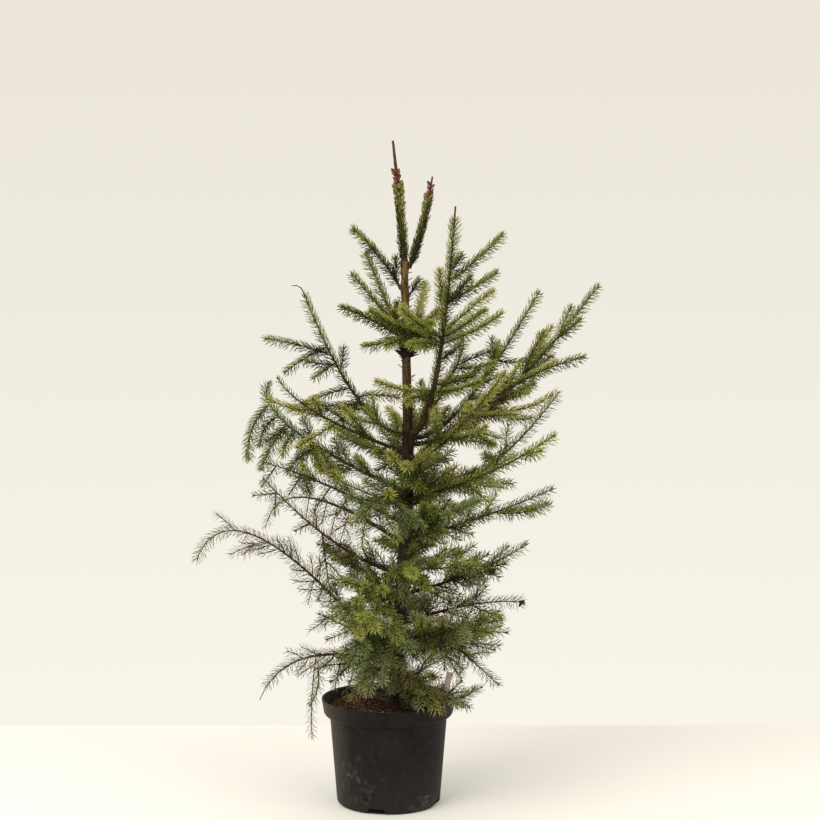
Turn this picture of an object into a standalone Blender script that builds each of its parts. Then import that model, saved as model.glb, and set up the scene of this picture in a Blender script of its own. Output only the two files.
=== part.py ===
"""A young Serbian spruce standing in its round nursery pot.

Metres, +Z up. The origin is the centre of the pot's flat underside,
+X runs to the right of the photographed side and +Y runs away from it.
Every limb grows from the trunk by one row of sizes, and every mass of
needles is a stem with side shoots, joined into one closed solid.
"""

import bisect
import math
import random

import bmesh
import bpy
from mathutils import Matrix, Vector
from mathutils.bvhtree import BVHTree

MM = 0.001
GAP = 0.3 * MM
COLLECTION_NAME = "serbian_spruce"

# Pot: a tapering wall with a deep stepped rim band
POT_HEIGHT = 157 * MM
POT_FOOT_RADIUS = 76.5 * MM
POT_SHOULDER_RADIUS = 87 * MM
RIM_BOTTOM_RADIUS = 95.5 * MM
RIM_TOP_RADIUS = 99 * MM
RIM_BAND = 29 * MM
RIM_STEP = 5 * MM
WALL = 2 * MM
FLOOR = 2.5 * MM
FOOT_CHAMFER = 3 * MM
POT_STEPS = 40
NOTCH_TOP_WIDTH = 20 * MM
NOTCH_FOOT_WIDTH = 29 * MM
NOTCH_HEIGHT = 7 * MM
NOTCH_DEPTH = 18 * MM
NOTCH_COUNT = 4
NOTCH_AZIMUTH = math.radians(-103)

# Compost: fills the pot to a little under the rim
SOIL_HEIGHT = 143 * MM
SOCKET_DEPTH = 16 * MM
SOCKET_SLACK = 0.6 * MM
SOCKET_SIDES = 24
SLOT_SLACK = 0.4 * MM

# Plant label: a blank strip pushed in near the rim
LABEL_SIZE = (9 * MM, 0.9 * MM, 55 * MM)
LABEL_FOOT = Vector((77.5 * MM, 10 * MM, 130 * MM))
LABEL_LEAN = math.radians(14)
LABEL_TURN = math.radians(20)

# Trunk: height, lean to the right, lean away and radius in millimetres
TRUNK_ROWS = (
    (127.3, 10, 0, 15.5),
    (143, 10, 0, 14.5),
    (152, 11, 0, 12.0),
    (170, 11, 0, 10.6),
    (243, 14, 1, 10.0),
    (306, 18, 2, 9.4),
    (355, 22, 3, 8.9),
    (452, 28, 3, 8.2),
    (541, 29, 1, 7.6),
    (600, 28, 0, 6.9),
    (681, 26, 0, 6.2),
    (732, 25, 0, 5.6),
    (802, 24, 0, 5.0),
)
TRUNK_RESOLUTION = 4

# Limbs: name, height of the foot, azimuth, reach, height of the tip, bow,
# place of the crest along the chord, and length of bare wood, all in
# millimetres and degrees. Tiers a to h run from the top down. A limb
# with no bare wood bears needles from the trunk on.
LIMB_ROWS = (
    ("top_leader", 802, 180, 17, 978, 1, 0.45, 0),
    ("top_right", 780, -10, 41, 926, -5, 0.30, 0),
    ("a_left", 748, 160, 80, 850, 7, 0.37, 0),
    ("a_right", 745, 40, 27, 775, 0, 0.40, 0),
    ("b_left_high", 664, 145, 73, 813, 2, 0.57, 0),
    ("b_left", 682, 185, 78, 783, 3, 0.37, 0),
    ("b_left_low", 686, 225, 126, 738, 5, 0.29, 0),
    ("b_front", 684, -70, 105, 716, 4, 0.50, 0),
    ("b_back", 676, 75, 110, 768, -6, 0.50, 0),
    ("c_left", 544, 170, 157, 758, -27, 0.22, 40),
    ("c_rising", 552, -50, 105, 881, -35, 0.03, 45),
    ("c_right_back", 548, 30, 230, 755, -34, 0.08, 0),
    ("c_right", 536, -5, 276, 766, -36, 0.18, 55),
    ("c_right_low", 500, -35, 295, 671, 20, 0.65, 0),
    ("c_left_low", 521, 210, 211, 638, -15, 0.80, 0),
    ("c_front", 550, -127, 108, 594, -9, 0.50, 0),
    ("c_right_front", 532, -25, 87, 694, -12, 0.93, 0),
    ("c_front_right", 524, -54, 224, 648, -26, 0.04, 0),
    ("c_back", 540, 80, 185, 590, -6, 0.50, 0),
    ("c_back_left", 508, 130, 195, 556, -6, 0.50, 0),
    ("d_left", 463, 170, 211, 621, -31, 0.95, 45),
    ("d_right", 481, 10, 228, 607, -43, 0.26, 0),
    ("d_right_low", 452, -38, 259, 562, -11, 0.55, 0),
    ("d_right_thin", 440, 42, 219, 458, 15, 0.47, 0),
    ("d_left_low", 415, 205, 219, 517, 6, 0.65, 0),
    ("d_front", 452, -112, 165, 452, 14, 0.50, 0),
    ("d_front_right", 474, -80, 175, 536, 4, 0.50, 0),
    ("d_back", 436, 95, 215, 556, -8, 0.50, 0),
    ("e_arch", 386, 152, 243, 394, 54, 0.90, 0),
    ("e_right", 393, 5, 219, 465, -5, 0.52, 0),
    ("e_left", 342, 190, 204, 486, -18, 0.35, 0),
    ("e_front", 350, -84, 150, 366, 6, 0.50, 0),
    ("e_front_right", 398, -56, 185, 470, 0, 0.50, 0),
    ("e_back", 346, 80, 220, 424, 0, 0.50, 0),
    ("f_right", 310, -10, 186, 390, -8, 0.58, 0),
    ("f_back", 300, 125, 205, 356, 6, 0.50, 0),
    ("f_front_left", 304, 238, 176, 304, 16, 0.50, 0),
    ("g_arch", 200, 178, 297, 362, 74, 1.05, 55),
    ("g_right", 265, -25, 196, 315, 10, 0.61, 0),
    ("g_right_low", 240, -55, 225, 290, 9, 0.63, 0),
    ("g_right_back", 222, 32, 182, 215, 9, 0.40, 0),
    ("g_front", 262, -115, 165, 236, 22, 0.50, 0),
    ("g_left", 231, 204, 123, 291, -2, 0.09, 0),
    ("g_back", 250, 82, 205, 268, 12, 0.50, 0),
    ("h_left", 203, 192, 205, 163, 45, 0.70, 0),
    ("h_left_low", 186, 222, 154, 222, 13, 0.55, 0),
    ("h_right", 268, 14, 153, 168, 17, 0.06, 0),
    ("h_right_low", 174, -48, 167, 198, -16, 0.82, 0),
    ("h_front", 234, -106, 150, 196, 12, 0.50, 0),
    ("h_front_right", 188, -60, 121, 160, 16, 0.40, 0),
    ("h_back", 200, 104, 156, 216, 12, 0.50, 0),
)
# Side shoots that shape the outline: limb, distance of the root along it,
# azimuth, reach, rise and bow. Millimetres and degrees again.
SHOOT_ROWS = (
    ("a_left", 76, 190, 11, 13, 0),
    ("b_left_low", 17, 178, 50, -16, -3),
    ("b_front", 31, 205, 64, 35, 0),
    ("b_front", 45, 240, 34, 38, 0),
    ("b_front", 51, -25, 30, 28, 0),
    ("b_front", 31, 225, 54, -13, 0),
    ("c_left", 171, 165, 102, 24, 3),
    ("c_left", 186, 195, 62, -36, 2),
    ("c_left", 157, 200, 45, 5, -2),
    ("c_left", 159, 215, 37, -21, 0),
    ("c_left", 116, 205, 73, -22, 3),
    ("c_left", 99, -25, 67, 1, 4),
    ("c_left", 89, 215, 97, 2, -4),
    ("c_left", 91, -60, 37, -12, 0),
    ("c_left", 95, 235, 15, -18, 0),
    ("c_rising", 254, 5, 76, 66, -2),
    ("c_rising", 268, -40, 20, 23, 0),
    ("c_rising", 225, 10, 71, 41, -2),
    ("c_rising", 219, -40, 42, 41, 0),
    ("c_rising", 176, -10, 71, 63, 3),
    ("c_rising", 172, -50, 88, 41, -1),
    ("c_rising", 165, -25, 91, 43, -5),
    ("c_rising", 177, 120, 9, 92, 0),
    ("c_rising", 166, 195, 105, 45, -5),
    ("c_rising", 172, 225, 80, 42, -3),
    ("c_rising", 161, 215, 55, 3, 3),
    ("c_rising", 94, 200, 86, 14, -6),
    ("c_rising", 84, 225, 53, -5, 4),
    ("c_rising", 103, -15, 64, 21, -5),
    ("c_rising", 91, -42, 85, 18, -4),
    ("c_right_back", 199, -10, 81, 23, -12),
    ("c_right_back", 124, 50, 76, 70, -2),
    ("c_right_back", 151, -30, 41, 18, 0),
    ("c_right_back", 174, 75, 69, 43, 0),
    ("c_right", 118, 60, 90, 48, 0),
    ("c_right", 150, -60, 95, 30, 0),
    ("c_right", 204, -40, 50, 29, 0),
    ("c_right_low", 246, 20, 44, 22, 0),
    ("c_right_low", 129, -50, 105, 11, 0),
    ("c_right_low", 172, -30, 69, -20, -10),
    ("c_right_low", 140, -55, 52, -41, -11),
    ("c_right_low", 162, -20, 103, 17, -13),
    ("c_right_low", 82, -38, 88, -9, 0),
    ("c_right_low", 106, -35, 73, -13, 0),
    ("c_left_low", 173, 190, 60, 15, -4),
    ("c_left_low", 128, 215, 65, -29, 0),
    ("c_front", 70, 215, 48, 13, 0),
    ("c_front", 74, 60, -17, 38, 0),
    ("c_right_front", 144, -10, 56, 23, 1),
    ("c_right_front", 140, -50, 78, 10, -3),
    ("c_right_front", 114, -45, 52, 13, 0),
    ("c_front_right", 112, -60, 97, 23, -5),
    ("d_left", 248, 195, 32, -81, 11),
    ("d_left", 208, 205, 40, -64, 4),
    ("d_left", 177, -70, 30, -78, -20),
    ("d_left", 190, 245, 42, -30, 6),
    ("d_left", 225, 150, 34, -44, 8),
    ("d_left", 150, 215, 52, -34, 6),
    ("d_left", 202, 225, 45, -18, 0),
    ("d_left", 152, -60, 67, -40, 0),
    ("d_left", 164, -75, 82, -33, 0),
    ("d_right", 95, -30, 75, 35, 0),
    ("d_right", 141, 100, 63, 3, 0),
    ("d_right_low", 110, -60, 61, -20, 0),
    ("d_right_low", 220, -60, 47, 11, 0),
    ("d_left_low", 226, 215, 23, -27, 0),
    ("d_left_low", 185, 225, 22, -25, 0),
    ("d_left_low", 135, 220, 23, -24, 0),
    ("d_left_low", 103, 220, 21, -25, 0),
    ("d_front", 102, 200, 54, 24, 0),
    ("d_front", 117, 212, 47, 8, 0),
    ("d_front", 141, 235, 43, -20, 0),
    ("d_front", 156, 250, 16, -47, 0),
    ("d_front", 84, -40, 71, -37, 0),
    ("d_front", 113, -62, 62, -50, 0),
    ("e_arch", 176, 255, 16, -32, 0),
    ("e_arch", 144, 255, 27, -30, 0),
    ("e_arch", 162, 250, 19, -43, 0),
    ("e_arch", 125, 250, 31, -46, 0),
    ("e_arch", 103, 250, 46, -49, 0),
    ("e_right", 139, -20, 85, 16, -6),
    ("e_left", 226, 200, 34, -2, 0),
    ("e_left", 137, -40, 20, -112, 0),
    ("e_left", 107, -55, 50, -13, 8),
    ("e_left", 160, 222, 26, -8, 0),
    ("e_left", 78, -50, 31, -29, 0),
    ("e_left", 229, 240, 3, -31, 0),
    ("e_front", 80, -28, 45, 11, 0),
    ("e_front", 80, -40, 40, -29, 0),
    ("e_front", 60, -14, 81, 23, 0),
    ("e_front", 115, -18, 99, 10, 0),
    ("f_right", 91, -40, 62, 17, -1),
    ("f_right", 68, 25, 48, 51, 7),
    ("f_right", 46, 245, 70, 29, 0),
    ("f_front_left", 120, -75, 116, -16, 0),
    ("f_front_left", 80, -62, 89, -49, 0),
    ("f_front_left", 142, -78, 95, -23, 0),
    ("g_arch", 272, 205, 57, -16, 2),
    ("g_arch", 120, 215, 60, -28, 0),
    ("g_arch", 183, 250, 23, -36, 0),
    ("g_right", 122, -50, 64, -11, 0),
    ("g_right", 92, 20, 41, 16, 0),
    ("g_right", 53, -42, 72, -19, 0),
    ("g_right_low", 173, -30, 65, 3, 0),
    ("g_right_low", 142, -35, 82, 24, 1),
    ("g_front", 115, 255, 44, -37, 0),
    ("g_front", 100, -70, 69, -34, 0),
    ("g_front", 47, -70, 106, -15, 0),
    ("h_left", 107, 210, 48, -26, 0),
    ("h_left_low", 157, 225, 14, -50, -7),
    ("h_left_low", 116, 235, 12, -33, 0),
    ("h_right", 71, -30, 34, -60, -4),
    ("h_right_low", 128, -60, 38, -4, 0),
    ("h_front", 45, 215, 68, -34, 0),
    ("h_front", 84, 200, 45, -50, 0),
    ("h_front", 59, -20, 65, -45, 0),
    ("h_front_right", 65, -40, 52, -20, 0),
    ("h_front_right", 39, -15, 53, 34, 0),
)
SPINE_POINTS = 33
BOUGH_FOOT_RADIUS = 1.6 * MM
BOUGH_RADIUS_PER_LENGTH = 0.0062
BOUGH_END_SHARE = 0.8
BOUGH_POINTS = 6
BOUGH_RESOLUTION = 1
LOW_CORNER_SHARE = 0.5

# Sprays: a slim three-edged core with wider tufts of needles along it
SHOOT_CORE = 1.8 * MM
TIP_CORE = 0.9 * MM
TUFT_RADIUS = 11.5 * MM
TUFT_PITCH = 27 * MM
TUFT_RISE = 0.78
END_TUFT_SHARE = 0.7
STEM_NECK = 16 * MM
SHOOT_NECK = 14 * MM
ROOT_SHARE = 0.4
MARGIN = 0.4 * MM
TUFT_SHARES = {"top_leader": 0.85, "top_right": 0.8, "g_arch": 0.8, "h_left": 0.75}
BARE_TIPS = {"top_leader": 38 * MM, "c_rising": 12 * MM, "h_left": 24 * MM}
SHOOTLESS = ("top_leader", "top_right")

# Side shoots: a pair where each year's growth began, and a short one before
# it. The growth of the last year and of the years before is in millimetres.
GROWTH = {
    "a": (90, 60),
    "b": (90, 60),
    "c": (92, 74),
    "d": (84, 66),
    "e": (76, 60),
    "f": (66, 56),
    "g": (54, 48),
    "h": (46, 42),
}
PAIRLESS = (  # limbs whose only long side shoots have rows of their own
    "a_left",
    "b_left_high",
    "b_left",
    "b_left_low",
    "c_left",
    "c_rising",
    "c_right_back",
    "c_right_low",
    "c_front",
    "d_left",
    "d_right",
    "d_right_low",
    "e_arch",
    "e_right",
    "e_left",
    "g_arch",
    "g_right",
    "g_left",
    "h_left",
    "h_left_low",
    "h_right",
)
PAIR_FIRST = 16 * MM
PAIR_OFFSET = 3 * MM
PAIR_SHARE = 0.52
PAIR_LENGTHS = (40 * MM, 95 * MM)
PAIR_ANGLE = math.radians(44)
PAIR_ROLLS = (14, 26, -4, 20, 4, -14)
SPUR_LENGTH = 34 * MM
SPUR_ANGLE = math.radians(54)
SPUR_ROLLS = (70, -60, 110, -100, 40)
SHOOT_VARIETY = 0.15
SHOOT_CURL = 0.2
SHOOT_TURNS = (0, 24, -24)
SEED = 41


def clear_scene():
    for item in list(bpy.data.objects):
        bpy.data.objects.remove(item)


def make_collection(name):
    collection = bpy.data.collections.new(name)
    bpy.context.scene.collection.children.link(collection)
    return collection


def make_material(name, color, roughness):
    material = bpy.data.materials.new(name)
    material.use_nodes = True
    shader = material.node_tree.nodes["Principled BSDF"]
    shader.inputs["Base Color"].default_value = (*color, 1.0)
    shader.inputs["Roughness"].default_value = roughness
    shader.inputs["Metallic"].default_value = 0.0
    return material


def add_object(name, data, collection, material=None):
    item = bpy.data.objects.new(name, data)
    collection.objects.link(item)
    if material:
        data.materials.append(material)
    return item


def add_cutter(name, mesh, cutters):
    cutter = add_object(name, mesh, cutters)
    cutter.hide_render = True
    cutter.display_type = "WIRE"
    return cutter


def cut(item, cutter):
    modifier = item.modifiers.new(cutter.name, "BOOLEAN")
    modifier.operation = "DIFFERENCE"
    modifier.solver = "EXACT"
    modifier.object = cutter


def turned(name, profile, steps, collection, material):
    """A profile of radius and height turned about the upright axis."""
    mesh = bpy.data.meshes.new(name)
    build = bmesh.new()
    corners = [build.verts.new((radius, 0, height)) for radius, height in profile]
    for low, high in zip(corners, corners[1:]):
        build.edges.new((low, high))
    build.to_mesh(mesh)
    build.free()
    item = add_object(name, mesh, collection, material)
    screw = item.modifiers.new("turn", "SCREW")
    screw.steps = steps
    screw.render_steps = steps
    screw.use_merge_vertices = True
    screw.merge_threshold = 0.01 * MM
    return item


# Pot


def wall_radius(height):
    """Outer radius of the tapering wall below the rim band."""
    share = height / (POT_HEIGHT - RIM_BAND)
    return POT_FOOT_RADIUS + (POT_SHOULDER_RADIUS - POT_FOOT_RADIUS) * share


def notch_cutter(number, cutters):
    """A trapezoid block, wider at the foot, that opens the pot's foot."""
    name = f"notch_{number}"
    mesh = bpy.data.meshes.new(name)
    build = bmesh.new()
    bmesh.ops.create_cube(build, size=1.0)
    for corner in build.verts:
        width = NOTCH_TOP_WIDTH if corner.co.z > 0 else 2 * NOTCH_FOOT_WIDTH - NOTCH_TOP_WIDTH
        corner.co.y *= width
        corner.co.x = POT_FOOT_RADIUS + corner.co.x * 2 * NOTCH_DEPTH
        corner.co.z = NOTCH_HEIGHT if corner.co.z > 0 else -NOTCH_HEIGHT
    turn = Matrix.Rotation(NOTCH_AZIMUTH + math.tau * number / NOTCH_COUNT, 4, "Z")
    bmesh.ops.transform(build, matrix=turn, verts=build.verts)
    build.to_mesh(mesh)
    build.free()
    return add_cutter(name, mesh, cutters)


def add_pot(collection, cutters, material):
    band_foot = POT_HEIGHT - RIM_BAND
    profile = (
        (0, FLOOR),
        (wall_radius(FLOOR) - WALL, FLOOR),
        (wall_radius(band_foot) - WALL, band_foot + RIM_STEP),
        (RIM_BOTTOM_RADIUS - WALL, band_foot + 2 * RIM_STEP),
        (RIM_TOP_RADIUS - WALL, POT_HEIGHT),
        (RIM_TOP_RADIUS, POT_HEIGHT),
        (RIM_BOTTOM_RADIUS, band_foot + RIM_STEP),
        (wall_radius(band_foot), band_foot),
        (wall_radius(FOOT_CHAMFER), FOOT_CHAMFER),
        (wall_radius(0) - FOOT_CHAMFER, 0),
        (0, 0),
    )
    pot = turned("pot", profile, POT_STEPS, collection, material)
    for number in range(NOTCH_COUNT):
        cut(pot, notch_cutter(number, cutters))
    return pot


# Compost and label


def label_matrix(slack):
    """Places a unit cube as the label, grown by a slack on every side."""
    turn = Matrix.Rotation(LABEL_TURN, 4, "Z") @ Matrix.Rotation(LABEL_LEAN, 4, "Y")
    size = [length + 2 * slack for length in LABEL_SIZE]
    lift = Matrix.Translation((0, 0, LABEL_SIZE[2] / 2))
    return Matrix.Translation(LABEL_FOOT) @ turn @ lift @ Matrix.Diagonal((*size, 1.0))


def box_mesh(name, matrix):
    mesh = bpy.data.meshes.new(name)
    build = bmesh.new()
    bmesh.ops.create_cube(build, size=1.0, matrix=matrix)
    build.to_mesh(mesh)
    build.free()
    return mesh


def add_soil(collection, cutters, material):
    band_foot = POT_HEIGHT - RIM_BAND
    inset = WALL + GAP
    profile = (
        (0, SOIL_HEIGHT),
        (RIM_BOTTOM_RADIUS - inset, SOIL_HEIGHT),
        (RIM_BOTTOM_RADIUS - inset, band_foot + 2 * RIM_STEP + GAP),
        (wall_radius(band_foot) - inset, band_foot + RIM_STEP + GAP),
        (wall_radius(FLOOR) - inset, FLOOR + GAP),
        (0, FLOOR + GAP),
    )
    soil = turned("soil", profile, POT_STEPS, collection, material)
    foot, foot_radius = trunk_at(0)
    mesh = bpy.data.meshes.new("socket")
    build = bmesh.new()
    bmesh.ops.create_cone(
        build,
        cap_ends=True,
        segments=SOCKET_SIDES,
        radius1=foot_radius + SOCKET_SLACK,
        radius2=foot_radius + SOCKET_SLACK,
        depth=2 * SOCKET_DEPTH,
        matrix=Matrix.Translation((foot.x, foot.y, SOIL_HEIGHT)),
    )
    build.to_mesh(mesh)
    build.free()
    cut(soil, add_cutter("socket", mesh, cutters))
    cut(soil, add_cutter("label_slot", box_mesh("label_slot", label_matrix(SLOT_SLACK)), cutters))
    return soil


def add_label(collection, material):
    return add_object("plant_label", box_mesh("plant_label", label_matrix(0)), collection, material)


# Trunk


def trunk_at(height):
    """The trunk's centre and radius at a height."""
    rows = [[value * MM for value in row] for row in TRUNK_ROWS]
    height = min(max(height, rows[0][0]), rows[-1][0])
    pairs = zip(rows, rows[1:])
    low, high = next(pair for pair in pairs if height <= pair[1][0])
    share = (height - low[0]) / (high[0] - low[0])
    x, y, radius = (a + (b - a) * share for a, b in zip(low[1:], high[1:]))
    return Vector((x, y, height)), radius


def tube(name, points, radii, resolution, collection, material):
    """A tapering round limb: a bevelled curve with filled ends."""
    curve = bpy.data.curves.new(name, "CURVE")
    curve.dimensions = "3D"
    curve.bevel_depth = 1.0
    curve.bevel_resolution = resolution
    curve.use_fill_caps = True
    spline = curve.splines.new("POLY")
    spline.points.add(len(points) - 1)
    for target, point, radius in zip(spline.points, points, radii):
        target.co = (*point, 1.0)
        target.radius = radius
    return add_object(name, curve, collection, material)


def add_trunk(collection, material):
    points = [Vector((x, y, height)) * MM for height, x, y, _ in TRUNK_ROWS]
    radii = [row[3] * MM for row in TRUNK_ROWS]
    return tube("trunk", points, radii, TRUNK_RESOLUTION, collection, material)


# Paths


class Path:
    """A curve through close points, read by the distance along it."""

    def __init__(self, points):
        self.points = points
        self.marks = [0.0]
        for low, high in zip(points, points[1:]):
            self.marks.append(self.marks[-1] + (high - low).length)
        self.length = self.marks[-1]

    def point(self, distance):
        distance = min(max(distance, 0.0), self.length)
        index = min(bisect.bisect_right(self.marks, distance), len(self.points) - 1)
        low, high = self.marks[index - 1], self.marks[index]
        share = (distance - low) / (high - low)
        return self.points[index - 1].lerp(self.points[index], share)

    def direction(self, distance):
        return (self.point(distance + 2 * MM) - self.point(distance - 2 * MM)).normalized()

    def part(self, start, end, count):
        steps = [start + (end - start) * step / (count - 1) for step in range(count)]
        return Path([self.point(step) for step in steps])


def bowed_path(start, middle, end):
    """A smooth arc from start to end, drawn towards the middle point."""
    points = []
    for step in range(SPINE_POINTS):
        share = step / (SPINE_POINTS - 1)
        points.append(start.lerp(middle, share).lerp(middle.lerp(end, share), share))
    return Path(points)


# Limbs


class Limb:
    """A limb's spine, the way it faces, and where its wood and needles start."""

    def __init__(self, row):
        self.name, foot, azimuth, reach, tip, bow, crest, bare = row
        start, _ = trunk_at(foot * MM)
        angle = math.radians(azimuth)
        outward = Vector((math.cos(angle), math.sin(angle), 0.0))
        self.side = Vector((-outward.y, outward.x, 0.0))
        end = Vector((start.x, start.y, tip * MM)) + outward * reach * MM
        chord = end - start
        above = chord.cross(self.side).normalized()
        self.path = bowed_path(start, start + chord * crest + above * 2 * bow * MM, end)
        self.foot_core = BOUGH_FOOT_RADIUS + BOUGH_RADIUS_PER_LENGTH * self.path.length
        self.bare = bare * MM
        self.start = self.clear_of_trunk()

    def clear_of_trunk(self):
        """Distance along the spine at which the limb's flat foot leaves the trunk."""
        top, _ = trunk_at(math.inf)
        distance = 0.0
        while True:
            centre = self.path.point(distance)
            along = self.path.direction(distance)
            axis, skin = trunk_at(centre.z)
            beside = math.hypot(centre.x - axis.x, centre.y - axis.y)
            level = math.hypot(along.x, along.y)
            lean = abs(along.z) if self.bare or along.z > 0 else abs(along.z) * LOW_CORNER_SHARE
            if beside > skin + GAP + self.foot_core * lean:
                return distance
            if centre.z > top.z + GAP + self.foot_core * level:
                return distance
            distance += 0.1 * MM


def add_bough(limb, collection, material):
    end = limb.start + limb.bare
    wood = limb.path.part(limb.start, end, BOUGH_POINTS)
    shares = [step / (BOUGH_POINTS - 1) for step in range(BOUGH_POINTS)]
    radii = [limb.foot_core * (1 + (BOUGH_END_SHARE - 1) * share) for share in shares]
    name = f"bough_{limb.name}"
    return tube(name, wood.points, radii, BOUGH_RESOLUTION, collection, material)


# Sprays


class Spray:
    """A stem or side shoot: its path, its core, and the tufts it keeps."""

    def __init__(self, owner, path, side, core, root, neck, tail=0.0):
        self.owner = owner
        self.path = path
        self.side = side
        self.core = core
        self.root = root
        self.neck = neck
        self.tail = tail
        clothed = path.length - neck - tail
        self.count = max(1, round(clothed / TUFT_PITCH))
        self.pitch = clothed / self.count
        self.tufts = set(range(self.count))

    def core_at(self, distance):
        return self.core + (TIP_CORE - self.core) * distance / self.path.length

    def corners(self, distance, radius):
        """Three corners around the path."""
        centre = self.path.point(distance)
        along = self.path.direction(distance)
        across = (self.side - along * self.side.dot(along)).normalized()
        above = along.cross(across)
        angles = [math.tau * corner / 3 for corner in range(3)]
        return [
            centre + (above * math.cos(angle) + across * math.sin(angle)) * radius
            for angle in angles
        ]

    def tuft_rings(self, number, margin=0.0):
        """The wide ring of a tuft and the slim ring that closes it."""
        start = self.neck + number * self.pitch
        end = start + self.pitch
        radius = TUFT_RADIUS * TUFT_SHARES.get(self.owner, 1.0)
        if number == self.count - 1:
            radius *= END_TUFT_SHARE
        wide = self.corners(start + TUFT_RISE * self.pitch + margin, radius + margin)
        slim = self.corners(end, self.core_at(end) + margin)
        return [wide, slim]

    def solid(self):
        rings = [
            self.corners(0.0, self.root),
            self.corners(self.neck, self.core_at(self.neck)),
        ]
        for number in range(self.count):
            wide, slim = self.tuft_rings(number)
            if number in self.tufts:
                rings.append(wide)
            rings.append(slim)
        if self.tail:
            rings.append(self.corners(self.path.length, TIP_CORE))
        return loft(rings)

    def tuft_test(self, number):
        start = self.neck + number * self.pitch
        first = self.corners(start, self.core_at(start) + MARGIN)
        return loft([first, *self.tuft_rings(number, MARGIN)])

    def core_test(self, start):
        steps = self.path.part(start, self.path.length, self.count + 2)
        spots = [start + mark for mark in steps.marks]
        return loft([self.corners(spot, self.core_at(spot) + MARGIN) for spot in spots])


def loft(rings):
    """Corners and faces of a closed body through rings of three corners."""
    corners = [corner for ring in rings for corner in ring]
    faces = [(0, 1, 2)]
    for first in range(0, len(corners) - 3, 3):
        for side in range(3):
            low = first + side
            high = first + (side + 1) % 3
            faces.append((low, low + 3, high + 3, high))
    last = len(corners) - 3
    faces.append((last + 2, last + 1, last))
    return corners, faces


class Space:
    """Everything built so far, which later sprays keep clear of."""

    def __init__(self):
        self.bodies = []

    def add(self, owner, corners, faces):
        self.bodies.append((owner, corners, faces))

    def add_item(self, item):
        graph = bpy.context.evaluated_depsgraph_get()
        mesh = bpy.data.meshes.new_from_object(item.evaluated_get(graph))
        corners = [item.matrix_world @ vertex.co for vertex in mesh.vertices]
        faces = [tuple(face.vertices) for face in mesh.polygons]
        self.add(item.name, corners, faces)
        bpy.data.meshes.remove(mesh)

    def tree(self, wanted):
        corners = []
        faces = []
        for owner, body_corners, body_faces in self.bodies:
            if wanted(owner):
                first = len(corners)
                corners.extend(body_corners)
                faces.extend(tuple(first + index for index in face) for face in body_faces)
        return BVHTree.FromPolygons(corners, faces)


def touches(tree, body):
    return bool(BVHTree.FromPolygons(*body).overlap(tree))


def grow_stem(limb, space):
    """The needle-bearing stem of a limb, from its wood to its tip."""
    start = limb.start
    core = limb.foot_core
    if limb.bare:
        start += limb.bare + GAP
        core *= BOUGH_END_SHARE
    path = limb.path.part(start, limb.path.length, SPINE_POINTS)
    tail = BARE_TIPS.get(limb.name, 0.0)
    stem = Spray(limb.name, path, limb.side, core, core, STEM_NECK, tail)
    others = space.tree(lambda owner: owner != limb.name)
    stem.tufts = {number for number in stem.tufts if not touches(others, stem.tuft_test(number))}
    space.add(limb.name, *stem.solid())
    return stem


def set_path(limb, place, azimuth, reach, rise, bow):
    """The arc of a side shoot given by its own row of sizes."""
    root = limb.path.point(place * MM)
    angle = math.radians(azimuth)
    outward = Vector((math.cos(angle), math.sin(angle), 0.0))
    chord = (outward * reach + Vector((0, 0, rise))) * MM
    above = chord.cross(Vector((-outward.y, outward.x, 0.0))).normalized()
    return bowed_path(root, root + chord / 2 + above * 2 * bow * MM, root + chord)


def shoot_path(stem, place, hand, roll, length, angle):
    """A side shoot's arc: out from the stem, then curling along with it."""
    root = stem.path.point(place)
    along = stem.path.direction(place)
    across = (stem.side - along * stem.side.dot(along)).normalized()
    above = along.cross(across)
    sideways = across * hand * math.cos(roll) + above * math.sin(roll)
    outward = along * math.cos(angle) + sideways * math.sin(angle)
    tip_way = outward.lerp(along, SHOOT_CURL).normalized()
    return bowed_path(root, root + outward * length / 2, root + tip_way * length)


def try_shoot(stem, path, space):
    """The side shoot with the tufts it has room for, or None if it has no room."""
    side = path.direction(path.length / 2).orthogonal().normalized()
    root = ROOT_SHARE * stem.core_at(0.8 * stem.path.length)
    shoot = Spray(stem.owner, path, side, SHOOT_CORE, root, SHOOT_NECK)
    taken = space.tree(lambda owner: True)
    if touches(taken, shoot.core_test(SHOOT_NECK)):
        return None
    shoot.tufts = {number for number in shoot.tufts if not touches(taken, shoot.tuft_test(number))}
    if not shoot.tufts:
        return None
    space.add(stem.owner, *shoot.solid())
    return shoot


def grow_set_shoots(limb, stem, space):
    rows = [row[1:] for row in SHOOT_ROWS if row[0] == limb.name]
    tries = [try_shoot(stem, set_path(limb, *row), space) for row in rows]
    return [shoot for shoot in tries if shoot]


def vary(source):
    return 1 + SHOOT_VARIETY * source.uniform(-1.0, 1.0)


def whorls(stem, source):
    """Where the pairs of side shoots stand, from the tip back to the trunk."""
    last, year = GROWTH[stem.owner[0]]
    place = stem.path.length - stem.tail - last * MM
    while place > PAIR_FIRST:
        yield place, year * MM
        place -= year * MM * vary(source)


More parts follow.
